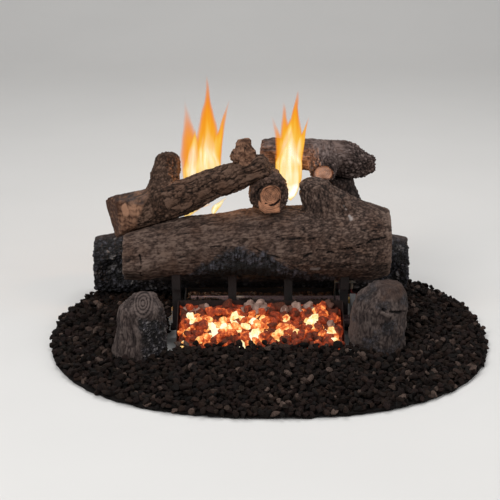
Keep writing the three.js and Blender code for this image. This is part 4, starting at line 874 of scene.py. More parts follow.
# %% [markdown]
# ## The centre log
#
# It points at the viewer, so what shows is its sawn end: a tan heart, round above and squared off
# below, with three curved cracks. A thick ring of lumpy bark, split into arcs, lies round the heart.

# %% Centre log
HEART_CRACKS = [
    ([pile(11, -112, 288), pile(15, -112, 284), pile(21, -112, 275)], 0.0013),
    ([pile(-1, -112, 271), pile(9, -112, 265), pile(22, -112, 259), pile(29, -112, 263),
      pile(37, -112, 269)], 0.0017),
    ([pile(-12, -112, 277), pile(-3, -112, 293), pile(5, -112, 301), pile(14, -112, 307)], 0.0016),
]


def centre_shape(wood):
    height, relief = furrowed_bark(wood, 91, 0.030, 0.0068, 0.0030)
    lumps, lump_relief = crazed_bark(wood, 97, 0.0058, 0.0020)
    offset, _, flat = from_heart(wood, centre_limbs[0], pile(20, -112, 278))
    ring = np.linalg.norm(flat, axis=1)
    face = smooth_step(0.010 - wood.along, 0, 0.006)
    shake = 0.0012 * noise(wood.points / 0.008, 3)
    upper = smooth_step(0.0206 - ring + shake, -0.0008, 0.0008)
    upper = upper * smooth_step(0.0185 - offset[:, 0], -0.001, 0.001)
    slab = smooth_step(0.0205 - np.abs(offset[:, 0] + 0.0035) + shake, -0.001, 0.001)
    below = smooth_step(-0.009 - offset[:, 2], -0.001, 0.001)
    slab *= below * smooth_step(offset[:, 2] + 0.0325 + shake, -0.001, 0.001)
    inside = np.maximum(upper, slab) * face
    turn = np.arctan2(flat[:, 2], flat[:, 0])
    arcs = ridged(np.stack([ring / 0.0045, turn * 1.1, 0 * ring], axis=1), 2, 93)
    splits = np.zeros(len(ring))
    for line, width in HEART_CRACKS:
        splits = np.maximum(splits, wood.crack(line, width, 0.004, seed=95))
    height = blend(face, height, lumps + 0.0012 * (arcs - 0.6))
    height = blend(inside, height, 0.0005 * (arcs - 0.6)) - splits * face
    relief = blend(face, relief, lump_relief + 0.6 * (arcs - 0.62)) - face * splits / 0.0022
    rim = smooth_step(ring, 0.0165, 0.0200) * smooth_step(0.002 - offset[:, 0], -0.002, 0.004) * upper
    shade = 0.52 + 0.14 * slab + 0.25 * (arcs - 0.5) + 0.4 * rim - splits / 0.002
    shade = shade + 0.2 * noise(wood.points / 0.006, 9)
    return {"height": height, "relief": relief, "cut": inside, "ring": ring, "shade": shade}


centre_limbs = [Limb(pile(18, -112, 279), pile(18, 96, 252), 0.036, 0.033)]
centre_bark = log_material("centre log bark", ridge=tone(87, 66, 56), body=tone(50, 35, 27),
                           hollow=tone(17, 9, 6), tint=tone(215, 185, 160),
                           pale=tone(171, 119, 89), dark=tone(30, 13, 9))
carved_log("centre_log", "centre_log", centre_limbs, centre_shape, centre_bark,
           ("front_log", "rear_log", "top_left_log", "rear_top_log"), voxel=0.0014, soften=3)


# %% [markdown]
# ## The rear top log
#
# Long grain on the left; on the right old crazed bark, broken off ragged. The sawn stub that faces
# the viewer has the palest wood of the set, in a ring of dark bark. Below, the pale wood ends in a
# nearly straight line.

# %% Rear top log
def rear_top_shape(wood):
    height, relief = weathered_bark(wood, 101, depth=0.0022)
    pebbles, pebble_relief = crazed_bark(wood, 107, 0.0060, 0.0025)
    stub = (wood.limb == 1).astype(float)
    slanted = wood.along - 0.3 * (wood.points[:, 2] - PILE_ZERO[2] - 0.3)
    slanted = slanted + 0.012 * noise(wood.points / 0.02, 103)
    rough = blend(stub, smooth_step(slanted, 0.135, 0.185), smooth_step(wood.along, 0.020, 0.034))
    height, relief = blend(rough, height, pebbles), blend(rough, relief, pebble_relief)
    offset, inward, flat = from_heart(wood, rear_top_limbs[1], pile(124, 13, 284))
    ring = np.linalg.norm(flat, axis=1)
    face = smooth_step(inward, -0.008, -0.004) * stub
    inside = face * smooth_step(0.0200 - ring + 0.0015 * noise(wood.points / 0.01, 5), -0.0012, 0.0012)
    inside *= smooth_step(offset[:, 2] + 0.0115 + 0.002 * noise(wood.points / 0.008, 6), -0.001, 0.001)
    saw = noise(wood.points / np.array([0.02, 0.02, 0.0022]), 7)
    height = blend(inside, height, 0.0003 * saw)
    ragged = smooth_step(wood.along, 0.215, 0.232) * (1 - stub)
    height = height + ragged * 0.006 * noise(wood.points / 0.009, 109)
    shade = 0.75 + 0.3 * noise(wood.points / 0.012, 8) - 1.1 * smooth_step(ring, 0.0165, 0.0195)
    return {"height": height, "relief": relief, "cut": inside, "ring": ring, "shade": shade}


rear_top_limbs = [
    Limb(pile(2, 80, 310), pile(232, 64, 296), 0.029, 0.030),
    Limb(pile(124, 60, 303), pile(124, 13, 284), 0.033, 0.025),
]
rear_top_bark = log_material("rear top bark", ridge=tone(110, 95, 90), body=tone(64, 51, 47),
                             hollow=tone(20, 13, 11), tint=tone(210, 190, 175),
                             pale=tone(196, 166, 150), dark=tone(98, 66, 50))
carved_log("rear_top_log", "rear_top_log", rear_top_limbs, rear_top_shape, rear_top_bark,
           ("centre_log", "rear_log"), voxel=0.0014, soften=3)


# %% [markdown]
# ## The stumps
#
# Two short butts stand in front. The left one has a ringed knot that the grain flows round, and its
# lower right side is burnt to black scales by the ember tray beside it; the scales' raised tops are
# grey, partly ash and partly painted highlight. The right one is fibrous, with one deep crack, a raised
# lip under it, and a top worn to bare wood on its right. Its left edge and the lip are painted paler,
# as painted highlights, and a dark arch low on its front is painted shade.

# %% Left stump
KNOT = pile(-217, -258, 118)


def left_stump_shape(wood):
    away = wood.points - KNOT
    ring = np.linalg.norm(away * np.array([1.3, 0.4, 1]), axis=1) + 0.0014 * noise(wood.points / 0.012, 2)
    knot = smooth_step(0.0245 - ring, -0.003, 0.003)
    rings = np.abs(np.sin(math.pi * ring / (0.0048 + 0.06 * ring))) ** 0.6
    wood.place[:, 1] += 0.02 * np.exp(-((ring - 0.028) / 0.02) ** 2) * np.sign(away[:, 0])
    height, relief = weathered_bark(wood, 121, long=0.030, wide=0.0044, depth=0.0019)
    set_x, _, set_z = wood.in_set()
    shake = 9 * noise(wood.points / 0.02, 5) + 3 * noise(wood.points / 0.006, 6)
    lower = smooth_step(set_x + 221 + shake, -4, 10) * smooth_step(92 - set_z + shake, -4, 10)
    side = 0.7 * smooth_step(set_x + 190 + shake, -4, 8)
    lower = np.maximum(lower, side * smooth_step(122 - set_z, -4, 12))
    scales, scale_relief = crazed_bark(wood, 127, 0.0050, 0.0022, 1.2)
    height = blend(lower, height, scales)
    height = blend(knot, height, 0.0014 * (rings - 0.7) + 0.35 * height)
    burnt = lower * (1 - knot) * 0.85
    ridge = [pile(-262, -262, 62), pile(-256, -268, 44), pile(-262, -266, 26)]
    ridge_line = wood.crack(ridge, 0.0035, 0.0030)
    relief = blend(knot, blend(lower, relief, scale_relief), 1.5 * (rings - 0.7) + 0.5 * relief)
    # The raised scales turn grey, and ash lies on their crests: partly ash, partly painted highlight.
    block = np.clip(0.5 + 0.9 * scale_relief, 0, 1)
    return {
        "height": height + ridge_line, "relief": relief + ridge_line / 0.004,
        "char": burnt, "block": block, "ash": 0.35 * burnt * smooth_step(scale_relief, 0.2, 0.7),
    }


def right_stump_shape(wood):
    height, relief = weathered_bark(wood, 141, long=0.016, wide=0.0040, depth=0.0019)
    set_x, _, set_z = wood.in_set()
    split = wood.crack([pile(226, -252, 103), pile(240, -249, 99), pile(256, -242, 94), pile(274, -226, 89)],
                       0.0027, 0.009, seed=143)
    lip = wood.crack([pile(227, -250, 94), pile(243, -246, 88), pile(251, -242, 74), pile(253, -240, 58)],
                     0.0034, 0.0014, seed=144)
    # A dark arch low on the front, in colour only: painted shade.
    painted_shade_arch = wood.near(pile(234, -252, 66), (11, 24, 20), 0.4)
    # The left edge is painted paler here, and the raised lip in the return below: painted highlights.
    relief = relief + 0.4 * smooth_step(184 - set_x, -6, 10) - 0.5 * painted_shade_arch
    worn = smooth_step(set_z - 116 + 9 * noise(wood.points / 0.02, 6), -6, 8) * smooth_step(set_x, 206, 236)
    blotch = smooth_step(noise(wood.points / 0.018, 7), 0.1, 0.5) * (1 - worn) * 0.55
    shrunk, block = char_blocks(wood, 147, 0.0064, 0.0016)
    return {
        "height": blend(blotch, height, shrunk) - split + lip,
        "relief": np.clip(relief - split / 0.003 + lip / 0.0012, -1.6, 1.2),
        "char": blotch, "block": block, "cut": 0.75 * worn,
        "shade": 0.15 + 0.3 * noise(wood.points / 0.01, 9),
    }


stump_bark = log_material("stump bark", ridge=tone(88, 76, 71), body=tone(48, 39, 37),
                          hollow=tone(16, 11, 10), tint=tone(205, 192, 188),
                          pale=tone(96, 74, 61), dark=tone(50, 35, 29))
left_limbs = [Limb(pile(-228, -232, 8), pile(-220, -232, 124), 0.050, 0.036)]
right_limbs = [Limb(pile(223, -198, 8), pile(223, -186, 134), 0.053, 0.036)]
carved_log("left_stump", "left_stump", left_limbs, left_stump_shape, stump_bark,
           ("lava_granule_bed",), voxel=0.0014, soften=4)
carved_log("right_stump", "right_stump", right_limbs, right_stump_shape, stump_bark,
           ("lava_granule_bed", "front_log"), voxel=0.0014, soften=4)


# %% [markdown]
# ## Loose pieces
#
# Lava granules, pan granules and embers are all heaps of small lumps. A heap is built in three
# steps: a few lump shapes, each a sphere pushed in and out by noise; a list of places, found by
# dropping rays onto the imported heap; and a mesh that holds a turned and scaled copy of a shape at
# each place. The number stored for each lump lets the material give every lump its own tone.

# %% Lump shapes
def lump_shape(seed, squash, rough, cuts=0, layers=2, shallow=0.5, detail=2):
    """A ball of radius one, pushed in and out by noise and broken flat on some sides."""
    ball = bmesh.new()
    bmesh.ops.create_icosphere(ball, subdivisions=detail, radius=1.0)
    corners = np.array([v.co for v in ball.verts])
    faces = np.array([[v.index for v in face.verts] for face in ball.faces])
    ball.free()
    reach = 1 + rough * layered(corners * 1.4 + 31.7 * seed, layers, seed)
    corners = corners * reach[:, None]
    rng = np.random.default_rng(seed)
    for facing in rng.normal(size=(cuts, 3)):
        facing /= np.linalg.norm(facing)
        over = np.maximum(corners @ facing - rng.uniform(shallow, 0.8), 0)
        corners -= over[:, None] * facing
    return corners * np.array(squash), faces


def turns(count, rng, tilt):
    """Random rotation matrices: spun about the upright at will, and tipped over by the tilt."""
    q = rng.normal(size=(count, 4)) * np.array([1, tilt, tilt, 1])
    q /= np.linalg.norm(q, axis=1)[:, None]
    w, x, y, z = q.T
    return np.stack([
        np.stack([1 - 2 * (y * y + z * z), 2 * (x * y - w * z), 2 * (x * z + w * y)], axis=1),
        np.stack([2 * (x * y + w * z), 1 - 2 * (x * x + z * z), 2 * (y * z - w * x)], axis=1),
        np.stack([2 * (x * z - w * y), 2 * (y * z + w * x), 1 - 2 * (x * x + y * y)], axis=1),
    ], axis=1)


def heap_mesh(name, shapes, places, sizes, rng, marks, tilt=1.0, smooth=True):
    """One mesh of many lumps; marks are stored numbers with one value for each lump."""
    rotations = turns(len(places), rng, tilt)
    picks = rng.integers(len(shapes), size=len(places))
    corners, faces, start = [], [], 0
    for place, size, rotation, pick in zip(places, sizes, rotations, picks):
        shape, shape_faces = shapes[pick]
        corners.append(shape @ rotation.T * size + place)
        faces.append(shape_faces + start)
        start += len(shape)
    mesh = bpy.data.meshes.new(name)
    points, triangles = np.concatenate(corners), np.concatenate(faces)
    mesh.vertices.add(len(points))
    mesh.vertices.foreach_set("co", points.astype(np.float32).ravel())
    mesh.loops.add(triangles.size)
    mesh.loops.foreach_set("vertex_index", triangles.astype(np.int32).ravel())
    mesh.polygons.add(len(triangles))
    mesh.polygons.foreach_set("loop_start", np.arange(0, triangles.size, 3, dtype=np.int32))
    mesh.polygons.foreach_set("use_smooth", np.full(len(triangles), smooth))
    mesh.update(calc_edges=True)
    for mark, values in marks.items():
        store(mesh, mark, np.repeat(values, len(shapes[0][0])))
    return mesh


# %% Finding places for lumps
# Rays start at this height in metres, and a face that looks upward less than this holds no lump.
RAY_HEIGHT = 0.2
LEAST_UPWARD = 0.2
CLEAR_REACH = 0.05


def drop_places(node_name, low, high, step, rng):
    """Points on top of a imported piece, on a jittered honeycomb between two corners, in metres."""
    tree = tree_of([node_name])
    found = []
    row_gap = step * math.sqrt(0.75)
    for row in range(int((high[1] - low[1]) / row_gap) + 1):
        for column in range(int((high[0] - low[0]) / step) + 1):
            x = low[0] + (column + 0.5 * (row % 2)) * step + rng.uniform(-0.25, 0.25) * step
            y = low[1] + row * row_gap + rng.uniform(-0.25, 0.25) * step
            hit = tree.ray_cast((x, y, RAY_HEIGHT), (0, 0, -1))
            if hit[0] is not None and hit[1].z > LEAST_UPWARD:
                found.append(hit[0][:])
    return np.array(found)


def two_layers(rng, floor, upper, floor_range, upper_range):
    """A random number for each lump, from one range in the lower layer and another in the upper."""
    return np.concatenate([rng.uniform(*floor_range, len(floor)), rng.uniform(*upper_range, len(upper))])


def keep_clear(places, sizes, names, air=0.95):
    """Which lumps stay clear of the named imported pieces; air is the share of its size that each needs."""
    tree = tree_of(names)
    gaps = [tree.find_nearest(place, CLEAR_REACH)[3] or CLEAR_REACH for place in places.tolist()]
    return np.array(gaps) > sizes * air


def sunk_base(node_name, name, voxel, depth, lump, seed):
    """A copy of a packed heap, sunk unevenly below its top, which fills the gaps between the lumps."""
    base = fine_skin(node_name, name, voxel, soften=2)
    mesh = base.data
    points, normals = points_of(mesh), normals_of(mesh)
    sunk = -depth + 0.0015 * noise(points / lump, seed)
    mesh.vertices.foreach_set("co", (points + normals * sunk[:, None]).ravel())
    mesh.polygons.foreach_set("use_smooth", [True] * len(mesh.polygons))
    mesh.update()
    return base, points


# %% [markdown]
# ## Lava granules
#
# Crushed lava rock, about 12 to 18 mm across, broken flat on many sides and full of small holes. A
# dark base fills the gaps between the stones. The bed is built of several meshes, so that no single
# one is huge.

# %% Material: lava rock
def lava_material(name, dark, light, pale):
    material, tree, shader = blank_material(name, Specular_IOR_Level=0.15)
    place = node(tree, "ShaderNodeTexCoord").outputs["Object"]
    tint = attribute(tree, "tint")
    cloud = noise_texture(tree, place, 260.0, 4.0, 0.6)
    holes = node(tree, "ShaderNodeTexVoronoi", {"Vector": place, "Scale": 520.0})
    pits = spread(tree, holes.outputs["Distance"], 0.15, 0.5)
    level = sums(tree, "ADD", sums(tree, "MULTIPLY", cloud, 0.9), sums(tree, "MULTIPLY", tint, 0.55))
    number = sums(tree, "FRACT", sums(tree, "MULTIPLY", tint, 37.0))
    hue = ramp(tree, number, [
        (0.0, tone(200, 168, 150)), (0.35, tone(214, 196, 200)), (0.6, tone(196, 190, 160)),
        (0.8, tone(255, 236, 220)),
    ])
    colour = mixed(tree, 1.0, mixed(tree, spread(tree, level, 0.4, 1.1), dark, light), hue, "MULTIPLY")
    colour = mixed(tree, spread(tree, tint, 0.9, 1.0, 0.0, 0.8), colour, pale)
    # The holes are painted darker: painted shade in the pits.
    colour = mixed(tree, pits, mixed(tree, 0.6, colour, dark), colour)
    tree.links.new(colour, shader.inputs["Base Color"])
    tree.links.new(spread(tree, cloud, 0.3, 0.7, 0.72, 0.98), shader.inputs["Roughness"])
    height = sums(tree, "ADD", pits, sums(tree, "MULTIPLY", cloud, 0.8))
    tree.links.new(bump(tree, height, 0.0007), shader.inputs["Normal"])
    return material


# The stone tones are set darker than the rock's own colour: painted shade for the dimmer light low by the
# floor.
lava = lava_material("lava rock", tone(5, 3, 2), tone(45, 34, 30), tone(92, 76, 68))


# %% Granule bed
# The bed's outline is an ellipse with fuller corners; a power of two would be a plain ellipse.
OUTLINE_POWER = 2.3
STONES_PER_MESH = 600


def make_granule_bed(rng):
    low, high = (np.array(corner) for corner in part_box("lava_granule_bed"))
    floor = drop_places("lava_granule_bed", low, high, 0.0118, rng)
    upper = drop_places("lava_granule_bed", low, high, 0.0200, rng)
    middle = (low[:2] + high[:2]) / 2
    half = (high[:2] - low[:2]) / 2
    sizes = two_layers(rng, floor, upper, (0.0056, 0.0090), (0.0050, 0.0084))
    lift = two_layers(rng, floor, upper, (-0.004, 0.001), (0.0025, 0.0055))
    places = np.concatenate([floor, upper])
    places[:, 2] = np.maximum(places[:, 2] + lift, sizes * 1.1)
    reach = (np.abs(places[:, :2] - middle) + sizes[:, None] * 0.9) / half
    inside = (reach ** OUTLINE_POWER).sum(axis=1) < 1
    neighbours = [name for name in nodes if name not in ("lava_granule_bed", "ember_bed", "pan_granules")]
    kept = inside & keep_clear(places, sizes, neighbours)
    places, sizes = places[kept], sizes[kept]
    shapes = [lump_shape(seed, (1.3, 0.98, 0.76), rough=0.5, cuts=9, layers=3, shallow=0.42)
              for seed in range(16)]
    for start in range(0, len(places), STONES_PER_MESH):
        part = slice(start, start + STONES_PER_MESH)
        marks = {"tint": rng.uniform(0, 1, len(places[part]))}
        mesh = heap_mesh("lava_stones", shapes, places[part], sizes[part], rng, marks,
                         tilt=0.35, smooth=False)
        piece = link_object("lava_stones_%d" % (start // STONES_PER_MESH + 1), mesh)
        piece.data.materials.append(lava)
        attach(piece, "root")
        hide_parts("lava_granule_bed")
    return len(places)


def make_bed_base():
    base, points = sunk_base("lava_granule_bed", "lava_base", voxel=0.005, depth=0.0055, lump=0.012, seed=3)
    store(base.data, "tint", np.zeros(len(points)))
    base.data.materials.append(lava)
    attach(base, "root")
    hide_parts("lava_granule_bed")


make_bed_base()
print("lava stones:", make_granule_bed(np.random.default_rng(4)))

# %% [markdown]
# ## Pan granules
#
# The flame burner lies under a layer of small sooty granules, which spread the gas. They show only
# from above, between the two big logs, and their tones are darkened past the soot as painted shade.

# %% Pan granules
# Darker than the granules' own sooty colour: painted shade for where they lie between the logs.
pan_rock = lava_material("pan granules", tone(38, 31, 28), tone(96, 82, 72), tone(130, 116, 104))


def make_pan_granules(rng):
    low, high = (np.array(corner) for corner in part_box("pan_granules"))
    places = drop_places("pan_granules", low + 0.003, high - 0.003, 0.0062, rng)
    sizes = rng.uniform(0.0032, 0.0046, len(places))
    places[:, 2] += rng.uniform(-0.0022, -0.0006, len(places))
    kept = keep_clear(places, sizes, ["flame_pan", *BAR_NAMES], 0.9)
    places, sizes = places[kept], sizes[kept]
    shapes = [lump_shape(40 + seed, (1.1, 0.9, 0.72), rough=0.45, cuts=7) for seed in range(5)]
    marks = {"tint": rng.uniform(0, 0.98, len(places))}
    mesh = heap_mesh("pan_granule_heap", shapes, places, sizes, rng, marks, smooth=False)
    piece = link_object("pan_granule_heap", mesh)
    piece.data.materials.append(pan_rock)
    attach(piece, "root")
    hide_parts("pan_granules")
    return len(places)


print("pan granules:", make_pan_granules(np.random.default_rng(9)))

# %% [markdown]
# ## Glowing embers
#
# Lumps of mineral fibre, torn by hand, lie over the ember burner. Round a list of hot spots they glow
# yellow white; away from these they fade through orange to a dull red, and some, mostly at the back,
# stay pale and unlit. The glow of each lump is worked out from where it lies. A dim red base shows
# in the gaps.

# %% Material: glowing fibre
def ember_material():
    material, tree, shader = blank_material("glowing fibre", Roughness=0.95, Specular_IOR_Level=0.15)
    place = node(tree, "ShaderNodeTexCoord").outputs["Object"]
    glow = attribute(tree, "glow")
    patch = noise_texture(tree, place, 95.0, 3.0, 0.6)
    fluff = noise_texture(tree, place, 520.0, 3.0)
    heat = sums(tree, "ADD", glow, swing(tree, patch, 1.15))
    heat = sums(tree, "ADD", heat, swing(tree, fluff, 0.3), clamp=True)
    fire = ramp(tree, heat, [
        (0.0, (0, 0, 0, 1)), (0.16, tone(64, 16, 6)), (0.38, tone(138, 46, 18)), (0.55, tone(220, 104, 46)),
        (0.68, tone(255, 178, 98)), (0.8, tone(255, 226, 150)), (1.0, tone(255, 250, 214)),
    ])
    ash = mixed(tree, patch, tone(84, 56, 46), tone(204, 172, 156))
    burnt = mixed(tree, fluff, tone(46, 22, 16), tone(112, 66, 50))
    tree.links.new(mixed(tree, spread(tree, glow, -0.4, -0.1), ash, burnt), shader.inputs["Base Color"])
    tree.links.new(fire, shader.inputs["Emission Color"])
    shader.inputs["Emission Strength"].default_value = 1.15
    height = sums(tree, "ADD", patch, sums(tree, "MULTIPLY", fluff, 0.5))
    tree.links.new(bump(tree, height, 0.0012), shader.inputs["Normal"])
    return material


glowing = ember_material()


# %% Ember bed
# Each hot spot is its x and y between the logs, its half width, all in millimetres, and its strength.
HOT_SPOTS = [
    (-139, -194, 11, 1.0), (-124, -163, 17, 0.95), (-106, -168, 13, 0.9), (-90, -192, 20, 1.0),
    (-72, -190, 15, 1.0), (-45, -184, 22, 1.0), (-12, -172, 19, 1.0), (-10, -204, 19, 0.95),
    (24, -169, 9, 0.8), (37, -206, 12, 0.85), (44, -178, 11, 0.8), (69, -200, 14, 0.85),
    (94, -178, 12, 0.9), (109, -152, 13, 1.1), (128, -194, 12, 1.0), (138, -212, 8, 1.1),
    (84, -132, 8, 0.6), (-112, -226, 9, 0.8), (-30, -230, 9, 0.8), (-142, -236, 8, 0.9),
]


def ember_glow(places, rng):
    set_place = (places - PILE_ZERO) / MM
    heat = np.zeros(len(places))
    for x, y, width, strength in HOT_SPOTS:
        away = ((set_place[:, 0] - x) / width) ** 2 + ((set_place[:, 1] - y) / (1.1 * width)) ** 2
        heat = np.maximum(heat, strength * np.exp(-0.7 * away))
    back = smooth_step(set_place[:, 1], -156, -122)
    glow = 0.12 + 0.80 * heat + rng.uniform(-0.24, 0.24, len(places)) - 0.18 * back
    unlit = rng.uniform(0, 1, len(places)) < (0.03 + 0.3 * back) * (heat < 0.4)
    return np.where(unlit, -0.6, glow)


def make_embers(rng):
    low, high = (np.array(corner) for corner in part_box("ember_bed"))
    floor = drop_places("ember_bed", low + 0.004, high - 0.004, 0.0150, rng)
    upper = drop_places("ember_bed", low + 0.007, high - 0.007, 0.0215, rng)
    sizes = two_layers(rng, floor, upper, (0.0070, 0.0100), (0.0074, 0.0118))
    lift = two_layers(rng, floor, upper, (-0.005, -0.001), (0.000, 0.0045))
    places = np.concatenate([floor, upper])
    places[:, 2] += lift
    kept = keep_clear(places, sizes, ["ember_tray", *BAR_NAMES], 0.85)
    places, sizes = places[kept], sizes[kept]
    shapes = [lump_shape(80 + seed, (1.15, 0.95, 0.8), rough=0.7, cuts=4, layers=3, detail=3)
              for seed in range(14)]
    marks = {"glow": ember_glow(places, rng)}
    piece = link_object("ember_lumps", heap_mesh("ember_lumps", shapes, places, sizes, rng, marks))
    piece.data.materials.append(glowing)
    return piece, len(places)


def make_ember_base():
    base, points = sunk_base("ember_bed", "ember_base", voxel=0.0025, depth=0.0035, lump=0.006, seed=5)
    store(base.data, "glow", 0.2 + 0.2 * noise(points / 0.012, 7))
    base.data.materials.append(glowing)
    return base


ember_lumps, ember_count = make_embers(np.random.default_rng(12))
for piece in (ember_lumps, make_ember_base()):
    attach(piece, "root")
    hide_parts("ember_bed")
print("embers:", ember_count)

# %% [markdown]
# ## The grate, the burners and the gas train
#
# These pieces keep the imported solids, because their shapes are already right. A narrow bevel makes
# the edges of most of them catch the light. One node group paints all the metals: a base colour, a
# second colour in cloudy patches for rust or heat tint, and fine scratches, which run one way where
# the metal was rolled, drawn or turned.

# %% Node group: worn metal
def make_metal_group():
    sockets = [
        ("Metal", "Color", (0.5, 0.5, 0.5, 1)), ("Worn", "Color", (0.2, 0.15, 0.1, 1)),
        ("Wear", "Float", 0.5), ("Grain", "Vector", (1.0, 1.0, 1.0)), ("Gloss", "Float", 0.4),
        ("Coarse", "Float", 0.3),
    ]
    outputs = [("Colour", "Color"), ("Height", "Float"), ("Roughness", "Float"), ("Patch", "Float")]
    tree, given, out = new_group("Worn metal", sockets, outputs)
    place = node(tree, "ShaderNodeTexCoord").outputs["Object"]
    cloud = noise_texture(tree, place, 34.0, 6.0, 0.62)
    scale = noise_texture(tree, place, 420.0, 4.0, 0.6)
    with_grain = times(tree, place, given.outputs["Grain"])
    scratch = noise_texture(tree, with_grain, 700.0, 2.0)
    edge = sums(tree, "SUBTRACT", 0.75, sums(tree, "MULTIPLY", given.outputs["Wear"], 0.5))
    patch = spread(tree, cloud, sums(tree, "SUBTRACT", edge, 0.12), sums(tree, "ADD", edge, 0.08))
    patch = sums(tree, "MULTIPLY", patch, spread(tree, scale, 0.3, 0.6, 0.4, 1.0))
    shade = mixed(tree, spread(tree, scratch, 0.3, 0.7, 0.0, 0.35), given.outputs["Metal"],
                  (0.12, 0.11, 0.10, 1.0), "MULTIPLY")
    tree.links.new(mixed(tree, patch, shade, given.outputs["Worn"]), out.inputs["Colour"])
    rough = sums(tree, "ADD", given.outputs["Gloss"], spread(tree, scratch, 0.3, 0.7, -0.08, 0.12))
    rough = sums(tree, "ADD", rough, sums(tree, "MULTIPLY", patch, 0.3), clamp=True)
    tree.links.new(rough, out.inputs["Roughness"])
    coarse = sums(tree, "MULTIPLY", scale, given.outputs["Coarse"])
    height = sums(tree, "ADD", sums(tree, "MULTIPLY", scratch, 0.2), coarse)
    tree.links.new(height, out.inputs["Height"])
    tree.links.new(patch, out.inputs["Patch"])
    return tree


WORN_METAL = make_metal_group()


# %% Materials: metals
EVEN_GRAIN = (1.0, 1.0, 1.0)


def metal_material(name, metal, worn, wear, gloss, coarse, grain=EVEN_GRAIN, metallic=1.0,
                   relief=0.0003):
    material, tree, shader = blank_material(name)
    paint = use_group(tree, WORN_METAL, {"Metal": metal, "Worn": worn, "Wear": wear, "Gloss": gloss,
                                         "Coarse": coarse, "Grain": grain})
    tree.links.new(paint.outputs["Colour"], shader.inputs["Base Color"])
    tree.links.new(paint.outputs["Roughness"], shader.inputs["Roughness"])
    bare = spread(tree, paint.outputs["Patch"], 0.0, 1.0, metallic, 0.25 * metallic)
    tree.links.new(bare, shader.inputs["Metallic"])
    tree.links.new(bump(tree, paint.outputs["Height"], relief), shader.inputs["Normal"])
    return material


grate_steel = metal_material("grate steel", tone(8, 6, 6), tone(24, 10, 7),
                             wear=0.6, gloss=0.6, coarse=0.8, metallic=0.3, relief=0.0006)
tray_steel = metal_material("tray steel", tone(22, 18, 17), tone(48, 28, 21),
                            wear=0.5, gloss=0.55, coarse=0.6, metallic=0.3, relief=0.0004)
pan_steel = metal_material("sooted pan steel", tone(46, 42, 40), tone(28, 21, 18),
                           wear=0.8, gloss=0.6, coarse=0.5, metallic=0.5)
bracket_steel = metal_material("bracket steel", tone(150, 146, 140), tone(104, 92, 82),
                               wear=0.35, gloss=0.36, coarse=0.2, grain=(1, 1, 12.0))
burner_steel = metal_material("heat tinted tube", tone(150, 138, 124), tone(92, 66, 74),
                              wear=0.75, gloss=0.34, coarse=0.2, grain=(0.1, 4.0, 4.0))
turned_steel = metal_material("turned steel", tone(196, 193, 188), tone(140, 128, 114),
                              wear=0.3, gloss=0.26, coarse=0.1, grain=(8.0, 1.0, 1.0))
brass = metal_material("turned brass", tone(202, 170, 104), tone(128, 92, 50),
                       wear=0.4, gloss=0.28, coarse=0.1, grain=(8.0, 1.0, 1.0))
cast_alloy = metal_material("sand cast aluminium", tone(176, 176, 178), tone(118, 116, 114),
                            wear=0.35, gloss=0.5, coarse=1.0, metallic=0.9, relief=0.0007)
zinc = metal_material("zinc plate", tone(206, 204, 196), tone(168, 160, 128),
                      wear=0.4, gloss=0.3, coarse=0.2)
tube_alloy = metal_material("drawn aluminium", tone(190, 190, 190), tone(138, 136, 134),
                            wear=0.35, gloss=0.3, coarse=0.15, grain=(1.0, 6.0, 1.0))
copper = metal_material("drawn copper", tone(196, 116, 80), tone(98, 62, 48),
                        wear=0.55, gloss=0.32, coarse=0.15, grain=(1.0, 6.0, 1.0))


# %% Materials: plastic, ceramic and sleeve
def moulded_material(name, colour, dark, roughness, grain_size=900.0, relief=0.00012, **constants):
    """Moulded or glazed stuff: one colour, slightly cloudy, with a fine spark-eroded grain."""
    material, tree, shader = blank_material(name, **constants)
    place = node(tree, "ShaderNodeTexCoord").outputs["Object"]
    grain = noise_texture(tree, place, grain_size, 2.0)
    dust = noise_texture(tree, place, 60.0, 5.0, 0.6)
    settled = spread(tree, dust, 0.35, 0.7)
    tree.links.new(mixed(tree, settled, colour, dark), shader.inputs["Base Color"])
    rough = spread(tree, dust, 0.3, 0.7, roughness - 0.06, roughness + 0.1)
    tree.links.new(rough, shader.inputs["Roughness"])
    tree.links.new(bump(tree, grain, relief), shader.inputs["Normal"])
    return material


black_plastic = moulded_material("black plastic", tone(34, 33, 34), tone(46, 43, 42), 0.42)
red_plastic = moulded_material("red plastic", tone(176, 26, 20), tone(150, 22, 18), 0.26, relief=0.00005)
sleeve = moulded_material("silicone sleeve", tone(118, 26, 20), tone(70, 22, 18), 0.5)


WIRE_LENGTH = 12 * MM
WIRE_FROM_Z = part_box("spark_electrode")[1].z - WIRE_LENGTH


def ceramic_material():
    """Smoked glaze on the insulator; the wire that leaves its top is bare steel."""
    material, tree, shader = blank_material("glazed ceramic", Coat_Weight=0.6, Coat_Roughness=0.08)
    place = node(tree, "ShaderNodeTexCoord").outputs["Object"]
    height = node(tree, "ShaderNodeSeparateXYZ", {"Vector": place}).outputs["Z"]
    wire = spread(tree, height, WIRE_FROM_Z - 0.0002, WIRE_FROM_Z + 0.0002)
    stain = noise_texture(tree, place, 180.0, 4.0)
    glaze = mixed(tree, spread(tree, stain, 0.4, 0.75), tone(122, 110, 96), tone(62, 52, 44))
    tree.links.new(mixed(tree, wire, glaze, tone(120, 112, 106)), shader.inputs["Base Color"])
    tree.links.new(wire, shader.inputs["Metallic"])
    tree.links.new(spread(tree, stain, 0.3, 0.7, 0.16, 0.34), shader.inputs["Roughness"])
    return material


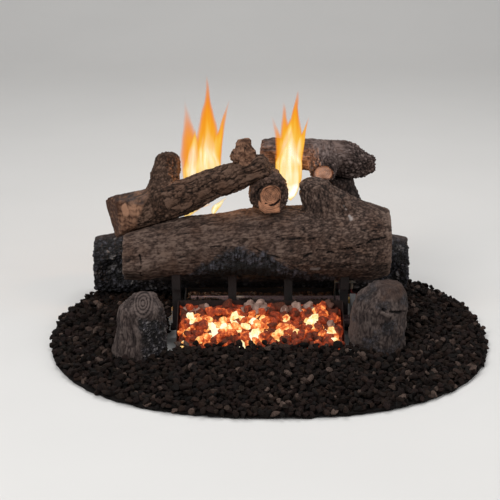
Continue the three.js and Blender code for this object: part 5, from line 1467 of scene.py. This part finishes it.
# %% Put the metals on their pieces
# Each entry is a material, how wide the bevel on its edges is in metres, and the pieces that it dresses.
DRESS = [
    (grate_steel, 0.0012, ["grate_front_rail", "grate_back_rail", "rear_log_pin_left", "rear_log_pin_right",
                           *BAR_NAMES]),
    (tray_steel, 0.0004, ["ember_tray"]),
    (pan_steel, 0.0004, ["flame_pan"]),
    (bracket_steel, 0.0003, ["valve_bracket", "pilot_bracket"]),
    (burner_steel, 0.0002, ["ember_burner", "flame_burner", "ember_air_shutter", "flame_air_shutter",
                            "pilot_burner"]),
    (brass, 0.0003, ["ember_injector", "flame_injector", "gas_inlet_fitting", "valve_plunger"]),
    (cast_alloy, 0.0008, ["gas_manifold", "gas_valve", "pressure_regulator"]),
    (turned_steel, 0.0002, ["control_stem", "thermocouple"]),
    (black_plastic, 0.0005, ["control_knob", "igniter"]),
    (red_plastic, 0.0004, ["igniter_button"]),
    (ceramic_material(), 0.0002, ["spark_electrode"]),
    (zinc, 0.0003, ["bracket_screw_left", "bracket_screw_right"]),
    (tube_alloy, 0.0, ["pilot_gas_tube"]),
    (copper, 0.0, ["thermocouple_lead"]),
    (sleeve, 0.0, ["ignition_wire"]),
]


def dress(piece, material, edge):
    piece.material_slots[0].link = "OBJECT"
    piece.material_slots[0].material = material
    if edge:
        bevel = piece.modifiers.new("worn edges", "BEVEL")
        bevel.width = edge
        bevel.segments = 2
        bevel.limit_method = "ANGLE"
        bevel.angle_limit = math.radians(35)


for material, edge, names in DRESS:
    for name in names:
        dress(nodes[name], material, edge)
print("dressed", sum(len(names) for _, _, names in DRESS), "packed pieces")


# %% [markdown]
# ## Flames
#
# Flames are light and hot gas, not a piece of the set, so they ride on no body: each fire is a box of
# glowing gas that only the camera sees. Inside it, every tongue is a soft column that swells and
# then tapers to a tip. The gas is thickest and whitest where tongues overlap, and orange at the thin
# edges. It also soaks up the light that comes from behind, so it still shows before a pale backdrop.
# The gas lights nothing round it, so a small orange lamp in each fire throws its glow on the logs.

# %% Node group: flame tongue
# How wide a tongue is at each share of its height, as a share of its greatest width.
TONGUE_PROFILE = [
    (0.0, 0.02), (0.1, 0.6), (0.25, 0.95), (0.45, 1.0), (0.65, 0.66), (0.85, 0.26), (1.0, 0.04),
]


def squared_share(tree, value, whole):
    return sums(tree, "POWER", sums(tree, "ABSOLUTE", sums(tree, "DIVIDE", value, whole)), 2.0)


def make_tongue_group():
    sockets = [
        ("Place", "Vector", None), ("Foot X", "Float", 0.0), ("Tip X", "Float", 0.0),
        ("Foot Z", "Float", 0.0), ("Tip Z", "Float", 0.4), ("Width", "Float", 0.02),
        ("Heat", "Float", 1.0),
    ]
    tree, given, out = new_group("Flame tongue", sockets, [("Amount", "Float")])
    place = node(tree, "ShaderNodeSeparateXYZ", {"Vector": given.outputs["Place"]})
    up = spread(tree, place.outputs["Z"], given.outputs["Foot Z"], given.outputs["Tip Z"])
    lean = sums(tree, "MULTIPLY", sums(tree, "SUBTRACT", given.outputs["Tip X"], given.outputs["Foot X"]),
                sums(tree, "POWER", up, 2.0))
    away = sums(tree, "SUBTRACT", sums(tree, "SUBTRACT", place.outputs["X"], given.outputs["Foot X"]), lean)
    swell = ramp(tree, up, [(rise, (share, share, share, 1)) for rise, share in TONGUE_PROFILE])
    width = sums(tree, "MULTIPLY", swell, given.outputs["Width"])
    across = squared_share(tree, away, width)
    deep = sums(tree, "ADD", width, 0.004)
    through = squared_share(tree, place.outputs["Y"], deep)
    inside = sums(tree, "SUBTRACT", 1.0, sums(tree, "ADD", across, through), clamp=True)
    foot_end = spread(tree, up, 0.0, 0.08, 0.0, 1.0)
    ends = sums(tree, "MULTIPLY", foot_end, spread(tree, up, 0.6, 1.0, 1.0, 0.0))
    amount = sums(tree, "MULTIPLY", sums(tree, "MULTIPLY", inside, ends), given.outputs["Heat"])
    tree.links.new(amount, out.inputs["Amount"])
    return tree


FLAME_TONGUE = make_tongue_group()


# %% Flames
# A tongue is its foot and tip x, its foot and tip z and its half width, in millimetres, and its heat.
FIRES = {
    "left": {"middle": pile(-108, 2, 305), "half": (62, 30, 184), "watts": 0.9, "tongues": [
        (-134, -146, 232, 438, 20, 0.9), (-122, -118, 238, 400, 20, 0.9), (-101, -104, 236, 486, 22, 1.2),
        (-90, -60, 240, 438, 13, 0.9), (-104, -103, 226, 404, 28, 1.9), (-137, -128, 228, 380, 16, 1.3),
        (-146, -88, 199, 228, 10, 0.5), (-92, -62, 203, 240, 6, 0.5),
    ]},
    "right": {"middle": pile(56, 2, 290), "half": (48, 30, 172), "watts": 0.4, "tongues": [
        (46, 22, 246, 406, 13, 0.8), (52, 44, 236, 434, 18, 0.9), (61, 72, 234, 456, 20, 1.1),
        (68, 94, 250, 404, 12, 0.8), (57, 57, 236, 400, 27, 1.3), (60, 59, 232, 372, 20, 1.4),
    ]},
}


GAS_THICKNESS = 380.0
FIRELIGHT = (1.0, 0.46, 0.14)


def flame_material(name, middle, tongues):
    material = bpy.data.materials.new(name)
    material.use_nodes = True
    tree = material.node_tree
    tree.nodes.clear()
    place = node(tree, "ShaderNodeTexCoord").outputs["Object"]
    slow = times(tree, place, (1.0, 1.0, 0.22))
    licks = node(tree, "ShaderNodeTexNoise", {"Vector": slow, "Scale": 46.0, "Detail": 2.0})
    shift = node(tree, "ShaderNodeVectorMath", {0: licks.outputs["Color"], 1: (0.5, 0.5, 0.5)},
                 operation="SUBTRACT")
    sway = times(tree, shift.outputs[0], (0.018, 0.010, 0.0))
    swayed = node(tree, "ShaderNodeVectorMath", {0: place, 1: sway}, operation="ADD").outputs[0]
    heat = 0.0
    for foot_x, tip_x, foot_z, tip_z, width, strength in tongues:
        foot, tip = pile(foot_x, 0, foot_z) - middle, pile(tip_x, 0, tip_z) - middle
        tongue = use_group(tree, FLAME_TONGUE, {
            "Place": swayed, "Foot X": foot[0], "Tip X": tip[0], "Foot Z": foot[2], "Tip Z": tip[2],
            "Width": width * MM, "Heat": strength,
        })
        heat = sums(tree, "ADD", sums(tree, "MULTIPLY", heat, 0.72), tongue.outputs["Amount"])
    tall = times(tree, swayed, (1.0, 1.0, 0.07))
    strands = noise_texture(tree, tall, 150.0, 2.0)
    height = node(tree, "ShaderNodeSeparateXYZ", {"Vector": place}).outputs["Z"]
    warmth = sums(tree, "MULTIPLY", heat, spread(tree, strands, 0.3, 0.7, 0.6, 1.25))
    warmth = sums(tree, "MULTIPLY", warmth, spread(tree, height, 0.0, 0.15, 1.8, 0.62))
    colour = ramp(tree, spread(tree, warmth, 0.0, 1.15), [
        (0.0, tone(240, 120, 20)), (0.1, tone(255, 166, 34)), (0.22, tone(255, 208, 72)),
        (0.4, tone(255, 240, 160)), (0.6, tone(255, 254, 244)),
    ])
    thick = sums(tree, "MULTIPLY", spread(tree, heat, 0.0, 0.26), GAS_THICKNESS)
    strength = sums(tree, "MULTIPLY", thick, spread(tree, warmth, 0.2, 1.2, 0.95, 1.5))
    glow = node(tree, "ShaderNodeEmission", {"Color": colour, "Strength": strength})
    soak = node(tree, "ShaderNodeVolumeAbsorption", {"Color": (0.0, 0.0, 0.0, 1.0), "Density": thick})
    both = tree.nodes.new("ShaderNodeAddShader")
    output = tree.nodes.new("ShaderNodeOutputMaterial")
    tree.links.new(glow.outputs[0], both.inputs[0])
    tree.links.new(soak.outputs[0], both.inputs[1])
    tree.links.new(both.outputs[0], output.inputs["Volume"])
    material.cycles.volume_step_rate = 0.3
    return material


def make_fire(side, middle, half, watts, tongues):
    cube = bmesh.new()
    bmesh.ops.create_cube(cube, size=2.0)
    mesh = bpy.data.meshes.new("flame_gas_" + side)
    cube.to_mesh(mesh)
    cube.free()
    mesh.transform(Matrix.Diagonal((*(np.array(half) * MM), 1.0)))
    gas = link_object("flame_gas_" + side, mesh)
    gas.location = middle
    gas.visible_diffuse = gas.visible_glossy = gas.visible_transmission = gas.visible_shadow = False
    mesh.materials.append(flame_material("flame gas " + side, middle, tongues))
    lamp = bpy.data.lights.new("flame_light_" + side, "POINT")
    lamp.color = FIRELIGHT
    lamp.energy = watts
    lamp.shadow_soft_size = 0.03
    holder = link_object("flame_light_" + side, lamp)
    holder.location = middle
    return len(tongues)


for side, fire in FIRES.items():
    print("fire", side, "tongues", make_fire(side, **fire))
